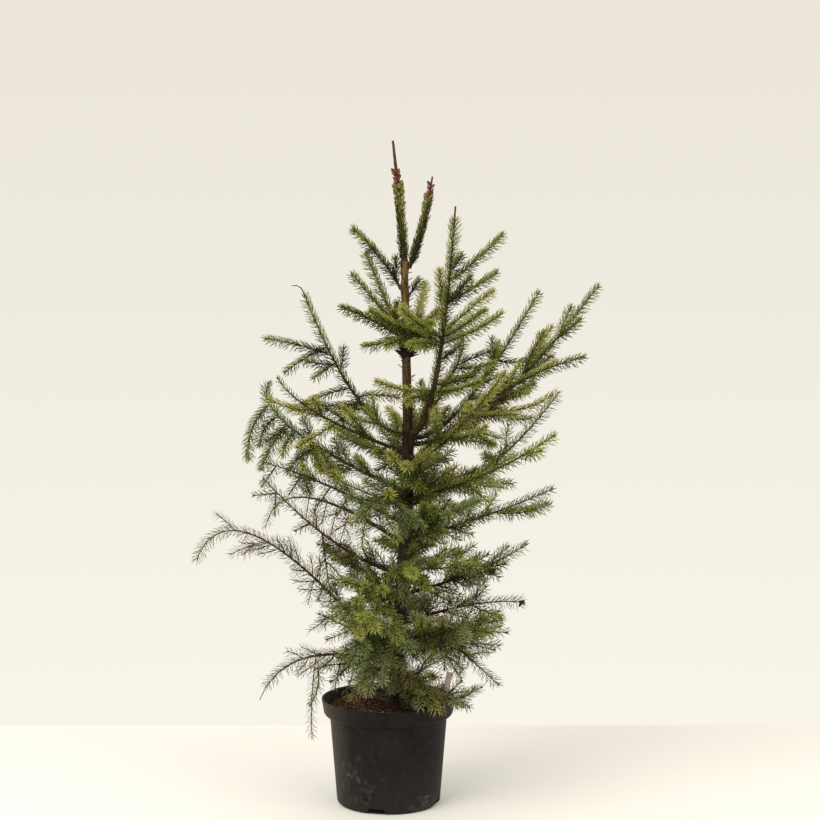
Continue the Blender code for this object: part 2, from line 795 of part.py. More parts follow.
def shoot_plans(stem, seed):
    """Place, hand, roll, length and angle of every side shoot of the rule."""
    source = random.Random(seed)
    plans = []
    for number, (place, year) in enumerate(whorls(stem, source)):
        for hand in (1, -1):
            length = PAIR_SHARE * (stem.path.length - place) * vary(source)
            length = min(max(length, PAIR_LENGTHS[0]), PAIR_LENGTHS[1])
            roll = PAIR_ROLLS[(2 * number + hand) % len(PAIR_ROLLS)]
            if stem.owner not in PAIRLESS:
                plans.append((place + hand * PAIR_OFFSET, hand, roll, length, PAIR_ANGLE))
        root = max(place - year / 2, PAIR_FIRST)
        roll = SPUR_ROLLS[number % len(SPUR_ROLLS)]
        plans.append((root, 1, roll, SPUR_LENGTH * vary(source), SPUR_ANGLE))
    return plans


def grow_shoots(stem, space, seed):
    """The side shoots of the rule, each turned a little or skipped where there is no room."""
    shoots = []
    if stem.owner in SHOOTLESS:
        return shoots
    for place, hand, roll, length, angle in shoot_plans(stem, seed):
        for turn in SHOOT_TURNS:
            path = shoot_path(stem, place, hand, math.radians(roll + turn), length, angle)
            shoot = try_shoot(stem, path, space)
            if shoot:
                shoots.append(shoot)
                break
    return shoots


def add_spray(name, spray, collection, material=None):
    mesh = bpy.data.meshes.new(name)
    corners, faces = spray.solid()
    mesh.from_pydata(corners, [], faces)
    return add_object(name, mesh, collection, material)


def add_mass(stem, shoots, collection, material):
    """Joins a stem and its side shoots into one closed mass of needles."""
    mass = add_spray(f"needles_{stem.owner}", stem, collection, material)
    if not shoots:
        return mass
    pieces = make_collection(f"shoots_{stem.owner}")
    for number, shoot in enumerate(shoots):
        add_spray(f"shoot_{stem.owner}_{number}", shoot, pieces)
    union = mass.modifiers.new("join", "BOOLEAN")
    union.operation = "UNION"
    union.solver = "EXACT"
    union.operand_type = "COLLECTION"
    union.collection = pieces
    graph = bpy.context.evaluated_depsgraph_get()
    joined = bpy.data.meshes.new_from_object(mass.evaluated_get(graph))
    mass.modifiers.clear()
    mass.data = joined
    for piece in list(pieces.objects):
        bpy.data.objects.remove(piece)
    bpy.data.collections.remove(pieces)
    return mass


def build_spruce():
    clear_scene()
    parts = make_collection(COLLECTION_NAME)
    cutters = make_collection("cutters")
    bark = make_material("bark", (0.16, 0.09, 0.055), 0.85)
    greens = (
        make_material("needles_dark", (0.035, 0.075, 0.03), 0.6),
        make_material("needles_mid", (0.06, 0.12, 0.04), 0.6),
        make_material("needles_fresh", (0.12, 0.19, 0.06), 0.6),
    )
    solids = [
        add_pot(parts, cutters, make_material("pot_plastic", (0.025, 0.022, 0.021), 0.55)),
        add_soil(parts, cutters, make_material("compost", (0.06, 0.025, 0.015), 0.95)),
        add_label(parts, make_material("label_plastic", (0.45, 0.4, 0.4), 0.5)),
        add_trunk(parts, bark),
    ]
    limbs = [Limb(row) for row in LIMB_ROWS]
    solids += [add_bough(limb, parts, bark) for limb in limbs if limb.bare]
    space = Space()
    for item in solids:
        space.add_item(item)
    stems = [grow_stem(limb, space) for limb in limbs]
    set_shoots = [grow_set_shoots(limb, stem, space) for limb, stem in zip(limbs, stems)]
    for number, stem in enumerate(stems):
        shoots = set_shoots[number] + grow_shoots(stem, space, SEED + number)
        add_mass(stem, shoots, parts, greens[number % len(greens)])


build_spruce()
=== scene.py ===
# %% [markdown]
# # A young Serbian spruce in its nursery pot
#
# This lesson dresses a plain solid model of a potted conifer. The solid
# model says where the pot, the trunk and every limb are. We add what the
# eye looks for: bark, thin wood, tens of thousands of needles, worn plastic
# and coarse compost. We start by loading the solid model, and we keep its
# box, because what we add may make the plant hardly bigger.

# %% Load the solid model
import math
import random

import bmesh
import bpy
import numpy as np
from mathutils import Matrix, Vector, noise


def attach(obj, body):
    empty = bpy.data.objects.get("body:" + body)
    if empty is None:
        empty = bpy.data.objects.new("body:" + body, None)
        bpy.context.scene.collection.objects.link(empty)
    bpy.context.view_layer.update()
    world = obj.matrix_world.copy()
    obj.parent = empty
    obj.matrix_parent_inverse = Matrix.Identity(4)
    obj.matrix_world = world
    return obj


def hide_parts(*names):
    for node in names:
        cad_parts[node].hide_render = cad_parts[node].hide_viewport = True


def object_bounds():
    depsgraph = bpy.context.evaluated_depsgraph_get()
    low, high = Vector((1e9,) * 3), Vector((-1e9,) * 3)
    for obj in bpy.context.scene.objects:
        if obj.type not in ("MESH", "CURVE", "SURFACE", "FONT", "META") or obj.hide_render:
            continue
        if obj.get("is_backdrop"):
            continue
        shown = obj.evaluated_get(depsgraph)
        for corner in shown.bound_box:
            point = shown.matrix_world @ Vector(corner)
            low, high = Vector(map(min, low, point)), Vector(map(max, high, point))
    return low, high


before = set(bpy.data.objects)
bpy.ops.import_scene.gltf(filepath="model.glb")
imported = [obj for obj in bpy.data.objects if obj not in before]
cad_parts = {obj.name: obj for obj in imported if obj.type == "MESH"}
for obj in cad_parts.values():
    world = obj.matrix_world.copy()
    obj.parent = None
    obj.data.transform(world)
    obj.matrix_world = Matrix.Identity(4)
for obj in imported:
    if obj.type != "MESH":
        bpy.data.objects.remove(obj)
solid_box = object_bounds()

MM = 0.001
MASSES = sorted(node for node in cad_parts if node.startswith("needles_"))
BOUGHS = sorted(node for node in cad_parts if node.startswith("bough_"))
print(len(MASSES), "masses of needles and", len(BOUGHS), "bare boughs to dress")

# %% [markdown]
# ## The camera
#
# The photograph was taken from about 0.8 m above the floor and a little
# under three metres away, with a long lens that keeps the pot's sides
# straight. A camera is placed by its real distance, height and tilt, so that
# its picture has the photograph's perspective, and only shape can differ.

# %% Camera
CAMERA_PLACE = (0.032, -2.753, 0.805)
CAMERA_PITCH = math.radians(-4.56)
CAMERA_LENS = 82.5


def placed(name, data):
    """A new object in the scene."""
    made = bpy.data.objects.new(name, data)
    bpy.context.scene.collection.objects.link(made)
    return made


camera = placed("camera", bpy.data.cameras.new("camera"))
camera.data.lens = CAMERA_LENS
camera.location = CAMERA_PLACE
camera.rotation_euler = (math.radians(90) + CAMERA_PITCH, 0, 0)
bpy.context.scene.camera = camera
bpy.context.scene.view_settings.view_transform = "Standard"
print("lens", CAMERA_LENS, "mm, camera height", CAMERA_PLACE[2], "m")

# %% [markdown]
# ## Colours and finishes
#
# Colours are easiest to judge as screen values from 0 to 255, but a shader
# wants linear light, so one helper converts them. A small class starts a
# material and adds the few kinds of node that most finishes are made of.
# Patterns read Object coordinates, which are metres here, so the scale of a
# grain can be thought of as a real size.

# %% Colour and material helpers
def linear(level):
    share = level / 255
    return share / 12.92 if share <= 0.04045 else ((share + 0.055) / 1.055) ** 2.4


def color(red, green, blue):
    """A screen colour as the linear colour that a shader wants."""
    return (linear(red), linear(green), linear(blue), 1.0)


class Finish:
    """A material under construction: its nodes and its shader."""

    def __init__(self, name, base, roughness, specular=0.5):
        self.material = bpy.data.materials.new(name)
        self.material.use_nodes = True
        self.tree = self.material.node_tree
        self.shader = self.tree.nodes["Principled BSDF"]
        self.shader.inputs["Base Color"].default_value = base
        self.shader.inputs["Roughness"].default_value = roughness
        self.shader.inputs["Specular IOR Level"].default_value = specular

    def feed(self, socket, value):
        """Gives an input a plain value, or links it to another node."""
        if isinstance(value, bpy.types.NodeSocket):
            self.tree.links.new(value, socket)
        else:
            socket.default_value = value

    def node(self, kind, **inputs):
        made = self.tree.nodes.new(kind)
        for name, value in inputs.items():
            self.feed(made.inputs[name], value)
        return made

    def place(self, stretch=(1, 1, 1), origin=(0, 0, 0)):
        """Object coordinates, measured from an origin and stretched."""
        where = self.node("ShaderNodeTexCoord").outputs["Object"]
        shift = tuple(-value * scale for value, scale in zip(origin, stretch))
        made = self.node("ShaderNodeMapping", Vector=where, Scale=stretch, Location=shift)
        return made.outputs[0]

    def height(self):
        """Height over the floor, in metres."""
        return self.node("ShaderNodeSeparateXYZ", Vector=self.place()).outputs["Z"]

    def grain(self, size, stretch=(1, 1, 1), detail=4.0):
        """Noise whose lumps are about one size across, in metres."""
        where = self.place(stretch)
        made = self.node("ShaderNodeTexNoise", Vector=where, Scale=1 / size, Detail=detail)
        return made.outputs["Fac"]

    def ramp(self, factor, *stops):
        """Turns a factor into a colour by stops of place and colour."""
        made = self.node("ShaderNodeValToRGB", Fac=factor)
        elements = made.color_ramp.elements
        while len(elements) < len(stops):
            elements.new(0.5)
        for element, (place, shade) in zip(elements, stops):
            element.position = place
            element.color = shade
        return made.outputs["Color"]

    def mix(self, factor, first, second, blend="MIX"):
        made = self.tree.nodes.new("ShaderNodeMix")
        made.data_type = "RGBA"
        made.blend_type = blend
        for number, value in ((0, factor), (6, first), (7, second)):  # the colour sockets
            self.feed(made.inputs[number], value)
        return made.outputs[2]

    def arithmetic(self, operation, *values):
        made = self.tree.nodes.new("ShaderNodeMath")
        made.operation = operation
        for socket, value in zip(made.inputs, values):
            self.feed(socket, value)
        return made.outputs[0]

    def paint(self, shade):
        self.tree.links.new(shade, self.shader.inputs["Base Color"])

    def bump(self, height, depth, strength=1.0):
        made = self.node("ShaderNodeBump", Height=height, Distance=depth, Strength=strength)
        self.tree.links.new(made.outputs["Normal"], self.shader.inputs["Normal"])


print("finishes start from a screen colour, such as", [round(x, 4) for x in color(20, 18, 17)])

# %% Common finishes and pieces
def mottled(name, base, roughness, specular, size, detail, *stops):
    """A finish whose colour follows one noise."""
    finish = Finish(name, base, roughness, specular)
    finish.paint(finish.ramp(finish.grain(size, detail=detail), *stops))
    return finish


def add_piece(name, mesh, material, slot, *nodes):
    """Links a mesh as a piece that rides with the plant and stands for its solids."""
    mesh.materials.append(material)
    piece = placed(name, mesh)
    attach(piece, "root")
    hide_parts(*nodes)
    faces = sum(len(face.vertices) - 2 for face in mesh.polygons)
    print(f"{name}: {faces} triangles")
    return piece


print("helpers ready")

# %% [markdown]
# ## Floor, backdrop and light
#
# The studio is a pale floor in front of a warm white wall, which is a little
# darker towards the top. A floor that ends where the wall stood, under a sky
# with the wall's colours, gives the same picture and leaves the plant free
# to be seen from behind. The sky is seen at full brightness but lights the
# plant with less, so that the broad lamp at the upper left can draw shadows
# between the needles.

# %% Floor, sky and lamps
FLOOR_REACH = 3.0
WALL_PLACE = 0.457
SKY_LOW, SKY_HIGH = -0.24, 0.11
SKY_LIGHT = 0.92
SKY_TINT = (1.0, 0.975, 0.93, 1.0)
WALL_LOW, WALL_MIDDLE = color(249, 245, 234), color(240, 235, 224)
WALL_HIGH = color(236, 230, 218)
WALL_MIDDLE_PLACE = 0.62

floor_build = bmesh.new()
bmesh.ops.create_grid(floor_build, x_segments=1, y_segments=1, size=FLOOR_REACH)
back = max(corner.co.y for corner in floor_build.verts)
for corner in floor_build.verts:
    corner.co.y = WALL_PLACE if corner.co.y == back else -FLOOR_REACH
floor_mesh = bpy.data.meshes.new("floor")
floor_build.to_mesh(floor_mesh)
floor_build.free()
floor_finish = Finish("floor_paper", color(239, 236, 228), 0.75, 0.2)
floor_mesh.materials.append(floor_finish.material)
floor = placed("floor", floor_mesh)
floor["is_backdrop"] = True


def studio_sky():
    """A wall-coloured sky for the eye, and an even, weaker one for the light."""
    world = bpy.data.worlds.new("studio")
    world.use_nodes = True
    tree = world.node_tree
    seen = tree.nodes["Background"]
    kinds = "Background TexCoord SeparateXYZ MapRange ValToRGB LightPath MixShader"
    nodes = [tree.nodes.new("ShaderNode" + kind) for kind in kinds.split()]
    lighting, where, split, height, wall, path, both = nodes
    lighting.inputs["Color"].default_value = SKY_TINT
    lighting.inputs["Strength"].default_value = SKY_LIGHT
    height.inputs["From Min"].default_value = SKY_LOW
    height.inputs["From Max"].default_value = SKY_HIGH
    stops = wall.color_ramp.elements
    stops[0].color = WALL_LOW
    stops[1].color = WALL_HIGH
    stops.new(WALL_MIDDLE_PLACE).color = WALL_MIDDLE
    links = (
        (where.outputs["Generated"], split.inputs[0]),
        (split.outputs["Z"], height.inputs["Value"]),
        (height.outputs[0], wall.inputs[0]),
        (wall.outputs[0], seen.inputs["Color"]),
        (path.outputs["Is Camera Ray"], both.inputs[0]),
        (lighting.outputs[0], both.inputs[1]),
        (seen.outputs[0], both.inputs[2]),
        (both.outputs[0], tree.nodes["World Output"].inputs["Surface"]),
    )
    for giver, taker in links:
        tree.links.new(giver, taker)
    return world


bpy.context.scene.world = studio_sky()


def add_lamp(name, place, aim, size, power, warmth):
    data = bpy.data.lights.new(name, "AREA")
    data.shape = "DISK"
    data.size = size
    data.energy = power
    data.color = warmth
    lamp = placed(name, data)
    lamp.location = place
    lamp.rotation_euler = (Vector(aim) - Vector(place)).to_track_quat("-Z", "Y").to_euler()


add_lamp("key_lamp", (-1.6, -1.9, 2.3), (0, 0, 0.45), 2.2, 59, (1.0, 0.98, 0.94))
add_lamp("fill_lamp", (1.9, -1.5, 1.3), (0, 0, 0.35), 1.8, 15, (1.0, 0.95, 0.88))
print("floor ends", WALL_PLACE, "m behind the plant")

# %% [markdown]
# ## The pot
#
# A nursery pot is blown or moulded from thin black plastic: a tapering wall,
# a deep band under the rim that a machine can grip, and slots at the foot
# for the water. Turning one profile about the upright axis with spin makes
# it in a single step. The corners of the profile are rounded first, because
# bevelling ten points is much easier than bevelling the turned rings.

# %% Pot profile
POT_HEIGHT = 157 * MM
FOOT_RADIUS = 76.5 * MM
SHOULDER_RADIUS = 87 * MM
BAND_FOOT_RADIUS = 95.5 * MM
RIM_RADIUS = 99 * MM
BAND_FOOT = 131 * MM
BAND_STEP = 5 * MM
WALL = 2 * MM
POT_FLOOR = 2.5 * MM
POT_STEPS = 144
ROUNDING_SEGMENTS = 4


def wall_radius(height):
    """Outer radius of the tapering wall below the band."""
    return FOOT_RADIUS + (SHOULDER_RADIUS - FOOT_RADIUS) * height / BAND_FOOT


POT_PROFILE = (  # radius, height and how far the corner is rounded
    (0, POT_FLOOR, 0),
    (wall_radius(POT_FLOOR) - WALL, POT_FLOOR, 1.2 * MM),
    (wall_radius(BAND_FOOT) - WALL, BAND_FOOT + BAND_STEP, 1.5 * MM),
    (BAND_FOOT_RADIUS - WALL, BAND_FOOT + 2 * BAND_STEP, 2 * MM),
    (RIM_RADIUS - WALL, POT_HEIGHT, 0.8 * MM),
    (RIM_RADIUS + 0.4 * MM, POT_HEIGHT, 0.8 * MM),
    (RIM_RADIUS, POT_HEIGHT - 3 * MM, 0.5 * MM),
    (BAND_FOOT_RADIUS, BAND_FOOT + 2 * MM, 5 * MM),
    (wall_radius(BAND_FOOT), BAND_FOOT - 1 * MM, 1 * MM),
    (wall_radius(4 * MM), 4 * MM, 1.2 * MM),
    (wall_radius(0) - 3.5 * MM, 0, 1.2 * MM),
    (0, 0, 0),
)


def bevel(build, geometry, offset, segments, affect="EDGES"):
    bmesh.ops.bevel(
        build, geom=geometry, offset=offset, offset_type="OFFSET", affect=affect,
        segments=segments, profile=0.5, material=-1,
    )


def rounded_wire(build, profile):
    """A chain of edges in the XZ plane with its corners rounded."""
    corners = [build.verts.new((radius, 0, height)) for radius, height, _ in profile]
    for low, high in zip(corners, corners[1:]):
        build.edges.new((low, high))
    for corner, (_, _, rounding) in zip(corners, profile):
        if rounding:
            bevel(build, [corner], rounding, ROUNDING_SEGMENTS, "VERTICES")


def turn_wire(build, steps):
    """Turns every edge about the upright axis and closes the seam and the poles."""
    bmesh.ops.spin(
        build, geom=build.verts[:] + build.edges[:], axis=(0, 0, 1), cent=(0, 0, 0),
        angle=math.tau, steps=steps, use_merge=True,
    )
    bmesh.ops.remove_doubles(build, verts=build.verts[:], dist=0.01 * MM)
    bmesh.ops.recalc_face_normals(build, faces=build.faces[:])


def built_mesh(name, build, smooth_angle=None):
    mesh = bpy.data.meshes.new(name)
    build.to_mesh(mesh)
    build.free()
    mesh.shade_smooth()
    if smooth_angle:
        mesh.set_sharp_from_angle(angle=math.radians(smooth_angle))
    return mesh


pot_build = bmesh.new()
rounded_wire(pot_build, POT_PROFILE)
turn_wire(pot_build, POT_STEPS)
print("pot shell:", len(pot_build.faces), "faces")

# %% [markdown]
# ## Drain notches and the mark of the mould
#
# Four notches, wider at the ground, let the water out, and a round dimple
# beside the front one is left by the mould. Both are cut with Boolean
# modifiers, whose result is kept and whose cutters are deleted. That gives
# clean walls inside each notch, which a hand-made hole rarely has.

# %% Cut the notches and the dimple
NOTCH_TOP = 22 * MM
NOTCH_FOOT = 30 * MM
NOTCH_HEIGHT = 9 * MM
NOTCH_DEPTH = 18 * MM
NOTCH_AZIMUTHS = [math.radians(angle) for angle in (-103, -19, 77, 167)]
DIMPLE_AZIMUTH = math.radians(-113.5)
DIMPLE_HEIGHT = 21 * MM
DIMPLE_RADIUS = 4.5 * MM
DIMPLE_DEPTH = 1.2 * MM


def notch_block(azimuth):
    build = bmesh.new()
    bmesh.ops.create_cube(build, size=1.0)
    for corner in build.verts:
        top = corner.co.z > 0
        corner.co.y *= NOTCH_TOP if top else 2 * NOTCH_FOOT - NOTCH_TOP
        corner.co.x = FOOT_RADIUS + corner.co.x * 2 * NOTCH_DEPTH
        corner.co.z = NOTCH_HEIGHT if top else -NOTCH_HEIGHT
    bmesh.ops.transform(build, matrix=Matrix.Rotation(azimuth, 4, "Z"), verts=build.verts)
    return build


def dimple_ball():
    """A ball that dips into the wall by the depth of the dimple."""
    ball = (DIMPLE_RADIUS**2 + DIMPLE_DEPTH**2) / (2 * DIMPLE_DEPTH)
    reach = wall_radius(DIMPLE_HEIGHT) + ball - DIMPLE_DEPTH
    turn = Matrix.Rotation(DIMPLE_AZIMUTH, 4, "Z")
    where = turn @ Matrix.Translation((reach, 0, DIMPLE_HEIGHT))
    build = bmesh.new()
    bmesh.ops.create_uvsphere(build, u_segments=40, v_segments=24, radius=ball, matrix=where)
    return build


def carved(piece, cutters):
    """The piece with each cutter taken out of it, as a plain mesh."""
    blocks = []
    for build in cutters:
        mesh = bpy.data.meshes.new("cutter")
        build.to_mesh(mesh)
        build.free()
        block = placed("cutter", mesh)
        blocks.append(block)
        cut = piece.modifiers.new("cut", "BOOLEAN")
        cut.operation = "DIFFERENCE"
        cut.solver = "EXACT"
        cut.object = block
    graph = bpy.context.evaluated_depsgraph_get()
    mesh = bpy.data.meshes.new_from_object(piece.evaluated_get(graph))
    piece.modifiers.clear()
    for block in blocks:
        bpy.data.objects.remove(block)
    return mesh


# %% [markdown]
# ## Worn black plastic
#
# Old black polypropylene is never one black. A painted sheen makes it browner
# and paler on the left. It is mottled and dusty all over and paler towards the
# foot, and it has marks in certain places: chalk low on the left, one pale
# fleck and a rubbed oval low on the right, and painted shade darkens the
# dimple. Each mark is a soft spot, made from the distance to its place, and
# noise breaks up the chalk. The plastic is matt.

# %% Pot plastic
POT_SHARP = math.radians(35)
MARKS = {  # place and reach along each axis, in mm, then stops of distance and strength
    # painted sheen: the plastic is browner and paler on the left, where the light grazes it
    "left": ((-120, -30, 60), (80, 200, 400), (0.44, 0.9), (0.85, 0)),
    "low": ((0, 0, -10), (600, 600, 90), (0.1, 0.45), (1, 0)),
    "chalk": ((-48, -62, 42), (50, 90, 60), (0.2, 1), (1, 0.12)),
    "rubbed": ((50, -58, 13), (26, 40, 12), (0.5, 0.5), (0.85, 1), (1, 0)),
    "fleck": ((-58, -52, 55), (3, 20, 1.6), (0.6, 0.9), (1, 0)),
    # painted shade: the dimple is darkened, as its shallow hollow would be in shade
    "dimple_shade": ((-31.5, -72.4, 21), (5.5, 20, 5.5), (0.4, 0.9), (1, 0)),
}


def faded(finish, factor, *stops):
    """A factor turned into a strength by stops of place and strength."""
    return finish.ramp(factor, *((place, (level, level, level, 1)) for place, level in stops))


def mark(finish, name):
    """A soft spot: a strength that follows the distance to its place."""
    place, reaches, *stops = MARKS[name]
    stretch = [1 / (reach * MM) for reach in reaches]
    where = finish.place(stretch, [value * MM for value in place])
    distance = finish.node("ShaderNodeVectorMath", Vector=where)
    distance.operation = "LENGTH"
    return faded(finish, distance.outputs["Value"], *stops)


def pot_plastic():
    finish = Finish("pot_plastic", color(20, 18, 17), 0.6, 0.12)
    mottle = finish.grain(0.05, (1, 1, 0.8), 5)
    shade = finish.ramp(mottle, (0.36, color(12, 10, 10)), (0.66, color(24, 20, 18)))
    dust = faded(finish, finish.grain(0.012, detail=10), (0.42, 0), (0.8, 0.4))
    specks = faded(finish, finish.grain(0.01, (1, 1, 0.8), 12), (0.5, 0), (0.74, 0.38))
    layers = (  # each one's strength and colour, from the first coat to the last
        # painted sheen on the left
        (mark(finish, "left"), color(66, 58, 50)),
        (mark(finish, "low"), color(50, 45, 41)),
        (dust, color(38, 33, 30)),
        (finish.arithmetic("MULTIPLY", specks, mark(finish, "chalk")), color(98, 92, 86)),
        (finish.arithmetic("MULTIPLY", mark(finish, "rubbed"), dust), color(124, 124, 124)),
        (mark(finish, "fleck"), color(96, 86, 74)),
        # painted shade in the dimple
        (mark(finish, "dimple_shade"), color(14, 9, 7)),
    )
    for strength, tint in layers:
        shade = finish.mix(strength, shade, tint)
    finish.paint(shade)
    finish.bump(finish.grain(0.0022, detail=3), 0.15 * MM, 0.35)
    return finish.material


pot_mesh = built_mesh("pot_dressed", pot_build)
pot = add_piece("pot_dressed", pot_mesh, pot_plastic(), "pot", "pot")
cutters = [notch_block(azimuth) for azimuth in NOTCH_AZIMUTHS] + [dimple_ball()]
pot.data = carved(pot, cutters)
pot.data.set_sharp_from_angle(angle=POT_SHARP)
print("pot:", len(pot.data.polygons), "faces after cutting")

# %% [markdown]
# ## The compost
#
# The pot is filled to a little under its rim with dark compost and bits of
# reddish bark. Its body is one more turned profile, close inside the pot,
# and only its top is worked: fine rings of faces are lifted by two sizes of
# noise into clods, with a slight mound round the trunk.

# %% Compost body
SOIL_HEIGHT = 143 * MM
SOIL_RINGS = 34
SOIL_INSET = 2.4 * MM
SOIL_LIFT = 0.4 * MM
CLODS = ((9, 1.6), (3.2, 0.9))  # size and height in millimetres
MOUND = 2.5 * MM
soil_rim = BAND_FOOT_RADIUS - SOIL_INSET


def rough(place, *lumps):
    """Noise of several sizes, each with its height, in millimetres."""
    return sum(noise.noise(place / (size * MM)) * height * MM for size, height in lumps)


def soil_level(x, y):
    """Height of the compost at a place, level at the rim."""
    reach = math.hypot(x, y) / soil_rim
    lifted = rough(Vector((x, y, 0.0)), *CLODS) + MOUND * (1 - reach**2)
    return SOIL_HEIGHT + lifted * (1 - reach**8)


soil_build = bmesh.new()
soil_top = [(soil_rim * ring / SOIL_RINGS, SOIL_HEIGHT, 0) for ring in range(SOIL_RINGS + 1)]
soil_side = [
    (soil_rim, BAND_FOOT + 2 * BAND_STEP + SOIL_LIFT, 0),
    (wall_radius(BAND_FOOT) - SOIL_INSET, BAND_FOOT + BAND_STEP + SOIL_LIFT, 0),
    (wall_radius(POT_FLOOR) - SOIL_INSET, POT_FLOOR + SOIL_LIFT, 0),
    (0, POT_FLOOR + SOIL_LIFT, 0),
]
rounded_wire(soil_build, soil_top + soil_side)
turn_wire(soil_build, POT_STEPS)
for corner in soil_build.verts:
    if corner.co.z > SOIL_HEIGHT - 0.1 * MM:
        corner.co.z = soil_level(corner.co.x, corner.co.y)

CLOD_TONES = (0.35, color(18, 11, 8)), (0.5, color(38, 23, 15)), (0.68, color(70, 44, 30))
# Painted shade: the compost low inside the pot, which shows only through the drain notches, is
# painted nearly black.
INSIDE_SHADE = color(6, 5, 5)
soil_finish = Finish("compost", color(40, 26, 18), 0.95, 0.15)
clods = soil_finish.ramp(soil_finish.grain(0.004, detail=8), *CLOD_TONES)
# painted shade below about 6 to 10 cm
inside_shade = faded(soil_finish, soil_finish.height(), (0.06, 1), (0.1, 0))
soil_finish.paint(soil_finish.mix(inside_shade, clods, INSIDE_SHADE))
soil_finish.bump(soil_finish.grain(0.0018, detail=4), 0.8 * MM)
soil_mesh = built_mesh("soil_dressed", soil_build)
add_piece("soil_dressed", soil_mesh, soil_finish.material, "compost", "soil")

# %% [markdown]
# ## Many small things from one template
#
# Bark chips, buds and needles come in hundreds or thousands. Each kind is
# modelled once as a tiny mesh of a few faces. Copies are then stamped with
# array arithmetic: every copy has an origin and three axes, whose lengths
# set its size, and all copies are joined into one mesh. That is far quicker
# than thousands of objects, and it survives any export.

# %% Stamping
def template(build):
    """A small closed mesh as arrays of corners and triangles."""
    bmesh.ops.triangulate(build, faces=build.faces[:])
    bmesh.ops.recalc_face_normals(build, faces=build.faces[:])
    build.verts.index_update()
    corners = np.array([corner.co[:] for corner in build.verts])
    faces = np.array([[corner.index for corner in face.verts] for face in build.faces])
    build.free()
    return corners, faces


def stamped(name, shape, origins, axes):
    """One mesh with a copy of the shape at each origin, on its three axes."""
    corners, faces = shape
    places = origins[:, None, :] + np.einsum("ck,nkd->ncd", corners, axes)
    first = np.arange(len(origins))[:, None, None] * len(corners)
    mesh = bpy.data.meshes.new(name)
    mesh.from_pydata(places.reshape(-1, 3), [], (faces[None] + first).reshape(-1, 3))
    mesh.shade_smooth()
    return mesh


def unit(vectors):
    return vectors / np.linalg.norm(vectors, axis=-1, keepdims=True)


def random_axes(draws, count, sizes, tilt):
    """Axes of things that lie about: turned any way, tilted a little."""
    turn = draws.uniform(0, math.tau, count)
    flat = np.stack([np.cos(turn), np.sin(turn), draws.normal(0, tilt, count)], axis=1)
    length = unit(flat)
    up = unit(np.array([0.0, 0.0, 1.0]) + draws.normal(0, tilt, (count, 3)))
    width = unit(np.cross(up, length))
    height = np.cross(length, width)
    return np.stack([length, width, height], axis=1) * sizes[:, :, None]


print("stamping ready")

# %% [markdown]
# ## Bark chips
#
# Chips of composted bark lie on the surface, reddish brown and a few
# millimetres long, and near the front some splinters of pale wood show. A
# chip is a cube whose ends are pinched, so that it looks torn and not sawn.
# The fallen needles among them are stamped later, with the other needles.

# %% Chips and litter
LITTER_SEED = 7
LITTER_REACH = 88 * MM
CHIP_COUNT = 620
CHIP_SPANS = ((4, 11), (2, 5), (0.8, 2.2))  # length, width and height in millimetres
CHIP_LIFT, CHIP_TILT = 0.4 * MM, 0.22
PALE_COUNT = 16
PALE_SMALLEST, PALE_LARGEST = (8, 1.4, 0.8), (17, 2.4, 1.4)
PALE_RIGHT, PALE_FRONT = (-60, 12), (34, 50)
PALE_LIFT, PALE_TILT = 2 * MM, 0.1


def chip_shape():
    """A cube with pinched ends. The vector noise needs a seed, or it differs each run."""
    noise.seed_set(LITTER_SEED)
    build = bmesh.new()
    bmesh.ops.create_cube(build, size=1.0)
    bmesh.ops.subdivide_edges(build, edges=build.edges[:], cuts=1, use_grid_fill=True)
    for corner in build.verts:
        pinch = 1 - abs(corner.co.x)
        corner.co.y *= 0.55 + 0.45 * pinch
        corner.co += Vector(noise.noise_vector(corner.co * 2.3)) * 0.16
    return template(build)


def scattered(draws, count, lift):
    """Places spread evenly over the compost."""
    reach = LITTER_REACH * np.sqrt(draws.uniform(0, 1, count))
    turn = draws.uniform(0, math.tau, count)
    x, y = reach * np.cos(turn), reach * np.sin(turn)
    z = np.array([soil_level(*spot) for spot in zip(x, y)])
    return np.stack([x, y, z + lift], axis=1)


def add_chips(name, finish, places, sizes, tilt):
    axes = random_axes(litter_draws, len(places), sizes, tilt)
    add_piece(name, stamped(name, chip_shape(), places, axes), finish.material, "compost", "soil")


litter_draws = np.random.default_rng(LITTER_SEED)
chip_sizes = [litter_draws.uniform(*span, CHIP_COUNT) for span in CHIP_SPANS]
chip_finish = mottled(
    "bark_chip", color(70, 42, 30), 0.85, 0.2, 0.007, 5,
    (0.32, color(26, 16, 11)), (0.5, color(64, 34, 22)),
    (0.64, color(108, 62, 42)), (0.7, color(140, 112, 92)),
)
chip_finish.bump(chip_finish.grain(0.0012, (1, 3, 3)), 0.5 * MM)

# Splinters are strewn like the chips, and then gathered near the front.
pale_places = scattered(litter_draws, PALE_COUNT, 0.0)
pale_places[:, 0] = litter_draws.uniform(*PALE_RIGHT, PALE_COUNT) * MM
pale_places[:, 1] = -litter_draws.uniform(*PALE_FRONT, PALE_COUNT) * MM
pale_places[:, 2] = SOIL_HEIGHT + PALE_LIFT
pale_sizes = litter_draws.uniform(PALE_SMALLEST, PALE_LARGEST, (PALE_COUNT, 3)) * MM
pale_finish = mottled(
    "pale_wood", color(150, 122, 104), 0.8, 0.2, 0.004, 5,
    (0.35, color(110, 82, 66)), (0.65, color(176, 150, 132)),
)
add_chips("pale_chips", pale_finish, pale_places, pale_sizes, PALE_TILT)
chip_places = scattered(litter_draws, CHIP_COUNT, CHIP_LIFT)
add_chips("bark_chips", chip_finish, chip_places, np.stack(chip_sizes, axis=1) * MM, CHIP_TILT)

# %% [markdown]
# ## The blank plant label
#
# A strip of pale plastic is pushed into the compost at the right. It is a
# box with its edges bevelled and its foot narrowed to a point. Its faces are
# clean: no lettering, only a faint mottling from the weather.

